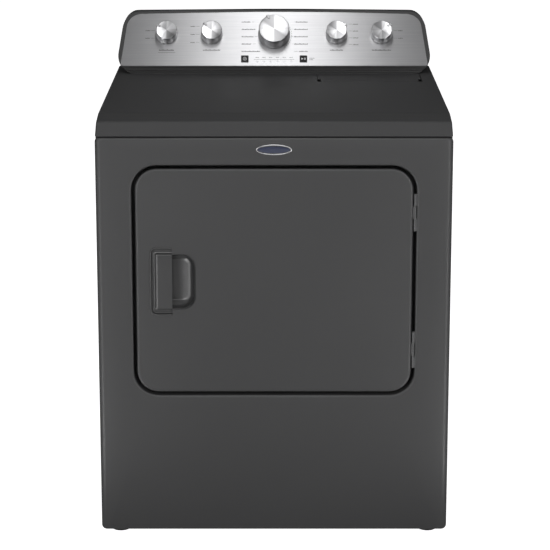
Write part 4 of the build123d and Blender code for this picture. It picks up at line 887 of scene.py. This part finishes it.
def mock_word(x, up, length, size, align=0.0):
    """A row of small strokes of uneven height, as long as a word, that spells nothing. Align 1 ends at x."""
    pitch = size * 0.62
    count = max(2, round(length / pitch))
    start = x - align * count * pitch
    strokes = []
    for i in range(count):
        tall = size * (1.0, 0.72, 0.72, 0.9, 0.72)[(i * 3 + count) % 5]
        left = start + i * pitch
        strokes.append(flat_block(left, left + pitch * 0.62, up, up + tall))
        if (i + count) % 3 == 0:
            strokes.append(flat_block(left, left + pitch * 0.95, up + tall * 0.4, up + tall * 0.6))
    return strokes


def make_print():
    """All the plate's marks: words, pointer lines, the title under each knob, and the progress line."""
    line, word, small, tiny, title, gap = 0.0005, 0.0030, 0.0022, 0.0018, 0.0031, 0.003
    left_edge, right_edge, top_row, row_step, lift = -0.075, 0.078, 0.1105, 0.0188, 0.0014
    marks = []
    for row, (left, right) in enumerate(
        ((0.021, 0.027), (0.032, 0.031), (0.027, 0.031), (0.023, 0.031), (0.042, 0.020))
    ):
        up = top_row - row_step * row
        reach = 0.0385 + 0.004 * abs(row - 2)
        marks += mock_word(left_edge, up, left, word) + mock_word(right_edge, up, right, word, 1)
        for start, end in ((left_edge + left + gap, -reach), (reach, right_edge - right - gap)):
            if start < end:
                marks.append(flat_block(start, end, up + lift, up + lift + line))
    dial_steps = {2: 0.019475, 3: 0.0205, 4: 0.0175}
    small_knobs = [row for name, row in knobs.items() if name != "cycle_knob"]
    for across, _, count, side, length, _ in small_knobs:
        near, far = across + side * 0.0285, across + side * 0.0365
        for i in range(count):
            up = knob_row + dial_steps[count] * ((count - 1) / 2 - i)
            marks.append(flat_block(min(near, far), max(near, far), up, up + line))
            marks += mock_word(far + side * 0.002, up - 0.001, length, small, int(side < 0))
    for row in small_knobs:
        marks += mock_word(row[0], 0.0385, row[-1], title, 0.5)
    for start, end, up in ((-0.268, -0.228, 0.0335), (-0.0465, 0.0465, 0.0158)):
        marks.append(flat_block(start, end, up, up + line))
    for i in range(6):
        marks += mock_word((i - 2.5) * 0.0156, 0.0205, 0.008, tiny, 0.5)
    marks += mock_word(0.081, 0.0185, 0.012, tiny) + mock_word(0.081, 0.0148, 0.009, tiny)
    ticks, radius, tick_half = 14, 0.0405, 0.0012
    for i in range(ticks):
        turn = radians(50 - 110 * i / ticks)
        x, up = radius * cos(turn), knob_row + radius * sin(turn)
        marks.append(flat_block(x - line, x + line, up - tick_half, up + tick_half))
    verts, faces = joined(marks)
    return make_piece("fascia_print", verts, faces, print_dark, "cabinet")


fascia_print = make_print()
print("print faces", len(fascia_print.data.polygons))


# %% [markdown]
# ## Button symbols
# The left button carries a small ring inside a larger one, and the right one a triangle beside two bars. Both
# are plain symbols, raised a tenth of a millimetre so that they read from the side too, and they ride on
# their buttons.


# %% Buttons
def ring_on_plate(x, up, radius, width, out, steps=40):
    """A flat ring, given a tenth of a millimetre of height."""
    inner, top = radius - width, out + mark_height
    corners = ((inner, out), (inner, top), (radius, top), (radius, out))
    return loft(
        [[on_fascia(x + r * a, up + r * b, o) for a, b in circle(steps)] for r, o in corners], ring=True
    )


def make_buttons():
    """Both buttons with softened corners, and a symbol on each."""
    line, out = 0.017, 0.0019
    for side, name in ((-1, "button_left"), (1, "button_right")):
        softened(name, gloss_black, 0.0009, 3)
        x = side * 0.0675
        if side < 0:
            parts = [ring_on_plate(x, line, 0.0042, 0.0008, out), ring_on_plate(x, line, 0.0018, 0.0007, out)]
        else:
            parts = [
                flat_block(x + dx, x + dx + 0.0011, line - 0.0026, line + 0.0026,
                lift=out) for dx in (0.0018, 0.0040)
            ]
            corners = ((-0.0048, -0.0028), (-0.0002, 0.0), (-0.0048, 0.0028))
            tip = [on_fascia(x + a, line + b, o) for a, b in corners for o in (out, out + mark_height)]
            parts.append((tip, [[4, 2, 0], [1, 3, 5], [0, 2, 3, 1], [2, 4, 5, 3], [4, 0, 1, 5]]))
        verts, faces = joined(parts)
        make_piece(name + "_symbol", verts, faces, print_pale, name)


make_buttons()
print("buttons done")

# %% [markdown]
# ## Nameplate
# A blank oval plate: a satin metal rim round a dark enamelled field. Rim and field are two pieces, so each
# has its own finish and the step between them is real.


# %% Nameplate
def make_nameplate():
    """Rim and field, lofted from ovals that step up and back down."""
    low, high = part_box("nameplate")
    middle = ((low.x + high.x) / 2, (low.z + high.z) / 2)
    half = ((high.x - low.x) / 2, (high.z - low.z) / 2)

    def oval(inset, depth):
        across, up = half[0] - inset, half[1] - inset
        return [Vector((middle[0] + across * x, front_y + depth, middle[1] + up * z)) for x, z in circle(72)]

    rim = [
        (0.0, 0.0), (0.0, -0.0008), (0.0003, -0.0011), (0.0009, -0.0012), (0.0018, -0.0012),
        (0.0021, -0.0010)
    ]
    rim += [(0.0022, -0.0006), (0.0022, 0.0)]
    verts, faces = loft([oval(*row) for row in rim])
    faces = [face[::-1] for face in faces]
    make_piece("nameplate_rim", verts, faces, bright_steel, "cabinet", 40, ("nameplate",))
    field = [(0.0022, -0.0004), (0.0025, -0.0007), (0.0040, -0.0009), (0.0060, -0.0010)]
    verts, faces = loft([oval(*row) for row in field], close_end=True)
    make_piece("nameplate_field", verts, faces, plate_blue, "cabinet", 40, ("nameplate",))


make_nameplate()
print("nameplate done")

# %% [markdown]
# ## Copies by Geometry Nodes
# Screw heads, slot hoods and mesh wires are one shape many times. One node tree sets a template on a grid of
# points, another on the vertices of a mesh, and a third winds a helix. Each ends in Realize Instances
# and Set Material, and its result is kept as a plain mesh.


# %% Geometry node helpers
def geometry_tree(name, inputs):
    """An empty geometry tree with named inputs. Returns it with the sockets that bring them in."""
    tree = bpy.data.node_groups.new(name, "GeometryNodeTree")
    inputs = {"Geometry": ("Geometry", None), **inputs, "Material": ("Material", None)}
    for label, (kind, default) in inputs.items():
        socket = tree.interface.new_socket(label, in_out="INPUT", socket_type="NodeSocket" + kind)
        if default is not None:
            socket.default_value = default
    tree.interface.new_socket("Geometry", in_out="OUTPUT", socket_type="NodeSocketGeometry")
    return tree, tree.nodes.new("NodeGroupInput").outputs


def set_on_points(tree, points, shape):
    """A shape on every point."""
    feed = {"Points": points, "Instance": shape}
    return add_node(tree, "GeometryNodeInstanceOnPoints", None, feed).outputs[0]


def template_shape(tree, given):
    """The shape of the template object."""
    return add_node(tree, "GeometryNodeObjectInfo", None, {"Object": given["Template"]}).outputs["Geometry"]


def end_tree(tree, given, geometry):
    """Realizes instances, sets the material and connects the output."""
    real = add_node(tree, "GeometryNodeRealizeInstances", None, {0: geometry})
    feed = {"Geometry": real.outputs[0], "Material": given["Material"]}
    paint = add_node(tree, "GeometryNodeSetMaterial", None, feed)
    tree.links.new(paint.outputs[0], tree.nodes.new("NodeGroupOutput").inputs[0])
    return tree


def make_grid_tree():
    """A template on a grid of points, turned and moved into place."""
    inputs = {"Across": ("Float", 0.1), "Along": ("Float", 0.1), "Columns": ("Int", 2), "Rows": ("Int", 2)}
    inputs |= {"Place": ("Vector", None), "Turn": ("Vector", None), "Template": ("Object", None)}
    tree, given = geometry_tree("copies_on_grid", inputs)
    feed = {"Size X": given["Across"], "Size Y": given["Along"]}
    feed |= {"Vertices X": given["Columns"], "Vertices Y": given["Rows"]}
    grid = add_node(tree, "GeometryNodeMeshGrid", None, feed)
    copies = set_on_points(tree, grid.outputs["Mesh"], template_shape(tree, given))
    feed = {"Geometry": copies, "Translation": given["Place"], "Rotation": given["Turn"]}
    return end_tree(tree, given, add_node(tree, "GeometryNodeTransform", None, feed).outputs[0])


def make_points_tree():
    """A template on every vertex of the mesh that carries the tree."""
    tree, given = geometry_tree("copies_on_points", {"Template": ("Object", None)})
    return end_tree(tree, given, set_on_points(tree, given["Geometry"], template_shape(tree, given)))


def make_winding_tree():
    """A helix of wire along X, in rows one above another."""
    inputs = {"Length": ("Float", 0.1), "Turns": ("Float", 10.0), "Radius": ("Float", 0.005)}
    inputs |= {"Wire radius": ("Float", 0.001), "Rows": ("Int", 1), "Pitch": ("Vector", None)}
    tree, given = geometry_tree("wound_wire", {**inputs, "Place": ("Vector", None)})
    feed = {"Height": given["Length"], "Rotations": given["Turns"]}
    feed |= {"Start Radius": given["Radius"], "End Radius": given["Radius"]}
    helix = add_node(tree, "GeometryNodeCurveSpiral", {"Resolution": 12}, feed)
    feed = {"Radius": given["Wire radius"]}
    section = add_node(tree, "GeometryNodeCurvePrimitiveCircle", {"Resolution": 6}, feed)
    feed = {"Curve": helix.outputs[0], "Profile Curve": section.outputs[0]}
    wire = add_node(tree, "GeometryNodeCurveToMesh", {"Fill Caps": True}, feed)
    along_x = {"Rotation": (0, pi / 2, 0)}
    lying = add_node(tree, "GeometryNodeTransform", along_x, {"Geometry": wire.outputs[0]})
    feed = {"Count": given["Rows"], "Offset": given["Pitch"], "Start Location": given["Place"]}
    rows = add_node(tree, "GeometryNodeMeshLine", None, feed)
    return end_tree(tree, given, set_on_points(tree, rows.outputs[0], lying.outputs[0]))


def grow(name, tree, values, material, body, points=(), replaces=(), slot=None, smooth_angle=35):
    """Runs a tree on a new mesh and keeps the result as a plain mesh piece."""
    seed = bpy.data.meshes.new(name + "_seed")
    seed.from_pydata([tuple(point) for point in points], [], [])
    carrier = bpy.data.objects.new(name + "_seed", seed)
    bpy.context.scene.collection.objects.link(carrier)
    modifier = carrier.modifiers.new("grow", "NODES")
    modifier.node_group = tree
    for item in tree.interface.items_tree:
        if item.in_out == "INPUT" and item.name in values:
            modifier[item.identifier] = values[item.name]
        elif item.in_out == "INPUT" and item.name == "Material":
            modifier[item.identifier] = material
    view_layer = bpy.context.evaluated_depsgraph_get()
    mesh = bpy.data.meshes.new_from_object(carrier.evaluated_get(view_layer))
    mesh.name = name
    bpy.data.objects.remove(carrier)
    bpy.data.meshes.remove(seed)
    return finish_piece(name, mesh, material, body, smooth_angle, replaces)


def template_object(name, verts, faces):
    """A mesh object that only a tree uses. It is removed once its copies are made."""
    mesh = bpy.data.meshes.new(name)
    mesh.from_pydata([tuple(v) for v in verts], [], faces)
    holder = bpy.data.objects.new(name, mesh)
    bpy.context.scene.collection.objects.link(holder)
    return holder


trees = {"grid": make_grid_tree(), "points": make_points_tree(), "winding": make_winding_tree()}
print("geometry trees", sorted(trees))


# %% [markdown]
# ## Screws, louvres, wires and coils
# The rear panel is held by hexagon-headed sheet screws with a pressed washer. Its air slots have small
# hoods. The lint screen's mesh is two sets of crossing wires, and the heater's coils are wound wire.


# %% Repeated pieces
def screw_places():
    """The middle of each rear screw, read from the frame's own solids."""
    work = bmesh.new()
    work.from_mesh(frame["nodes"]["rear_screws"].data)
    bmesh.ops.remove_doubles(work, verts=work.verts, dist=1e-6)
    places, seen = [], set()
    for start in work.verts:
        if start.index in seen:
            continue
        group, stack = [], [start]
        seen.add(start.index)
        while stack:
            vert = stack.pop()
            group.append(vert.co.copy())
            for edge in vert.link_edges:
                other = edge.other_vert(vert)
                if other.index not in seen:
                    seen.add(other.index)
                    stack.append(other)
        back = max(point.y for point in group)
        places.append((sum(p.x for p in group) / len(group), back, sum(p.z for p in group) / len(group)))
    work.free()
    return places


def make_rear_details():
    """Screw heads on the frame's screws, and hoods over the air slots."""
    facing_back = Matrix.Rotation(-pi / 2, 4, "X")
    profile = [(0, 0.0012), (0.0018, 0.0012), (0.0019, 0.0002), (0.0026, 0.0), (0.0031, -0.0004)]
    profile += [(0.0031, -0.0012), (0.0036, -0.0013), (0.0046, -0.0020), (0.0046, -0.0023), (0, -0.0023)]
    head = template_object("screw_head", *turned_profile(profile, 6, facing_back))
    grow(
        "rear_screw_heads", trees["points"], {"Template": head}, bright_steel, "cabinet", screw_places(),
        slot="screw_steel", smooth_angle=25,
    )
    bpy.data.objects.remove(head)
    wide, tall, proud, steps = 0.042, 0.009, 0.0035, 8
    verts, faces = [], []
    for shell in (0.0, 0.0007):
        for i in range(steps + 1):
            share = i / steps
            out = (proud - shell) * sin(pi / 2 * share) ** 0.8
            half = wide / 2 - shell - 0.004 * (1 - share) ** 2
            level = tall / 2 - tall * share
            verts += [(-half, out - 0.0002, level), (half, out - 0.0002, level)]
    layer = 2 * (steps + 1)
    for i in range(steps):
        a = 2 * i
        faces.append([a, a + 2, a + 3, a + 1])
        faces.append([layer + a, layer + a + 1, layer + a + 3, layer + a + 2])
        faces.append([a, layer + a, layer + a + 2, a + 2])
        faces.append([a + 1, a + 3, layer + a + 3, layer + a + 1])
    faces.append([layer - 2, 2 * layer - 2, 2 * layer - 1, layer - 1])
    faces.append([0, 1, layer + 1, layer])
    hood = template_object("slot_hood", [facing_back @ Vector(v) for v in verts], faces)
    rear_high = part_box("rear_panel")[1]
    drum_low, drum_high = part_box("drum")
    heater_low, heater_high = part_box("heater_box")
    middle = ((heater_low.x + heater_high.x) / 4, rear_high.y, (drum_low.z + drum_high.z) / 2 + 0.0045)
    columns, rows, across, up = 7, 4, 0.052, 0.024
    values = {"Across": across * (columns - 1), "Along": up * (rows - 1), "Columns": columns, "Rows": rows}
    values |= {"Place": middle, "Turn": (pi / 2, 0.0, 0.0), "Template": hood}
    grow("rear_slot_hoods", trees["grid"], values, galvanized, "cabinet", slot="bare_steel", smooth_angle=50)
    bpy.data.objects.remove(hood)


def make_lint_wires():
    """Crossing wires over the screen's opening, one thin bar template for each way."""
    low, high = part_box("lint_mesh")
    wide, tall, middle_y = high.x - low.x, high.z - low.z, (low.y + high.y) / 2
    middle = ((low.x + high.x) / 2, middle_y, (low.z + high.z) / 2)
    wire, pitch = 0.0005, 0.004
    upright = (pi / 2, 0.0, 0.0)
    for name, length, count, across in (
        ("upright", tall, int(wide / pitch), 1), ("level", wide, int(tall / pitch), 0)
    ):
        half, r = length / 2, wire / 2
        ring = [(r, 0.0), (0.0, r), (-r, 0.0), (0.0, -r)]
        verts = [(a, s * half, b) if across else (s * half, a, b) for s in (-1, 1) for a, b in ring]
        faces = [[i, (i + 1) % 4, 4 + (i + 1) % 4, 4 + i] for i in range(4)] + [[3, 2, 1, 0], [4, 5, 6, 7]]
        bar = template_object("wire_" + name, verts, faces)
        values = {"Across": wide, "Along": 0.0, "Columns": count, "Rows": 1}
        if not across:
            values = {"Across": 0.0, "Along": tall, "Columns": 1, "Rows": count}
        values |= {"Place": middle, "Turn": upright, "Template": bar}
        grow(
            "lint_wires_" + name, trees["grid"], values, mesh_grey, "lint_screen", (), ("lint_mesh",),
            "filter_mesh",
        )
        bpy.data.objects.remove(bar)


def make_heater_winding():
    """Six rows of wound resistance wire between the heater box's sides."""
    low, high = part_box("heater_coils")
    rows = 6
    pitch = (high.z - low.z - 0.006) / (rows - 1)
    place = (low.x, (low.y + high.y) / 2, low.z + 0.003)
    values = {"Length": high.x - low.x, "Turns": 30.0, "Radius": 0.006, "Wire radius": 0.0008}
    values |= {"Rows": rows, "Pitch": (0.0, 0.0, pitch), "Place": place}
    grow(
        "heater_winding", trees["winding"], values, hot_wire, "cabinet", replaces=("heater_coils",),
        slot="heating_wire", smooth_angle=60,
    )


make_rear_details()
make_lint_wires()
make_heater_winding()

# %% [markdown]
# ## Drum
# The drum's wall is one sheet, rolled with raised beads that stiffen it. Its ends are hemmed. A lathe profile
# with the beads in it says all of that at once.


# %% Drum
def make_drum():
    """The drum's shell, turned about its own axis, with beads and hemmed ends."""
    low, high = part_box("drum")
    centre = Vector((0, 0, (low.z + high.z) / 2))
    outer = (high.z - low.z) / 2
    wall, bead, bead_wide, hem = 0.001, 0.0035, 0.012, 0.0022
    length = high.y - low.y
    rows = [
        (outer - wall, 0.0), (outer - wall - hem, 0.001), (outer - wall - hem, 0.003),
        (outer - wall, 0.0045)
    ]
    for share in (0.12, 0.5, 0.88):
        for step in range(9):
            angle = pi * step / 8
            along = share * length + (step / 8 - 0.5) * bead_wide
            rows.append((outer - wall - bead * sin(angle) ** 2, along))
    rows += [
        (outer - wall, length - 0.0045), (outer - wall - hem, length - 0.003),
        (outer - wall - hem, length - 0.001)
    ]
    rows += [(outer - wall, length), (outer, length), (outer, 0.0)]
    loops = [
        [centre + Vector((radius * x, low.y + along, radius * z)) for x, z in circle(144)]
        for radius, along in rows
    ]
    verts, faces = loft(loops, ring=True)
    mesh = bpy.data.meshes.new("drum_shell")
    mesh.from_pydata(verts, [], faces)
    faces_out(mesh)
    return finish_piece("drum_shell", mesh, drum_enamel, "drum", 40, ("drum",))


drum_shell = make_drum()
print("drum shell", len(drum_shell.data.polygons), "faces")

# %% [markdown]
# ## Softened edges
# No real moulding or pressing has a perfectly sharp corner. The pieces that show get a copy of their CAD
# shape with the loose triangles merged and a small bevel, which catches light along each edge.

# %% Softened pieces
soft_edges = {
    "console_housing": (dark_plastic, 0.0016, 3, "dark_plastic"),
    "top_panel": (shaded_top_enamel, 0.0006, 2, "charcoal_enamel"),
    "lint_lid": (shaded_top_enamel, 0.0012, 2, "charcoal_enamel"),
    "cabinet_side_left": (enamel, 0.0004, 2, "charcoal_enamel"),
    "cabinet_side_right": (enamel, 0.0004, 2, "charcoal_enamel"),
    "drum_baffles": (pale_plastic, 0.004, 3, "pale_plastic"),
    "door_seal": (felt, 0.002, 3, "felt"),
    "door_inner": (enamel_inner, 0.0004, 2, "liner_enamel"),
    **{f"foot_{end}_{side}": (rubber, 0.001, 2, "rubber") for end in ("front",
    "rear") for side in ("left", "right")},
    "door_strike": (pale_plastic, 0.0006, 2, "pale_plastic"),
    "door_catch": (bright_steel, 0.0005, 2, "bare_steel"),
    "exhaust_pipe": (galvanized, 0.0002, 1, "bare_steel"),
    "terminal_cover": (galvanized, 0.0003, 2, "bare_steel"),
}
for node, (finish, width, segments, slot) in soft_edges.items():
    softened(node, finish, width, segments)
print("softened", len(soft_edges))
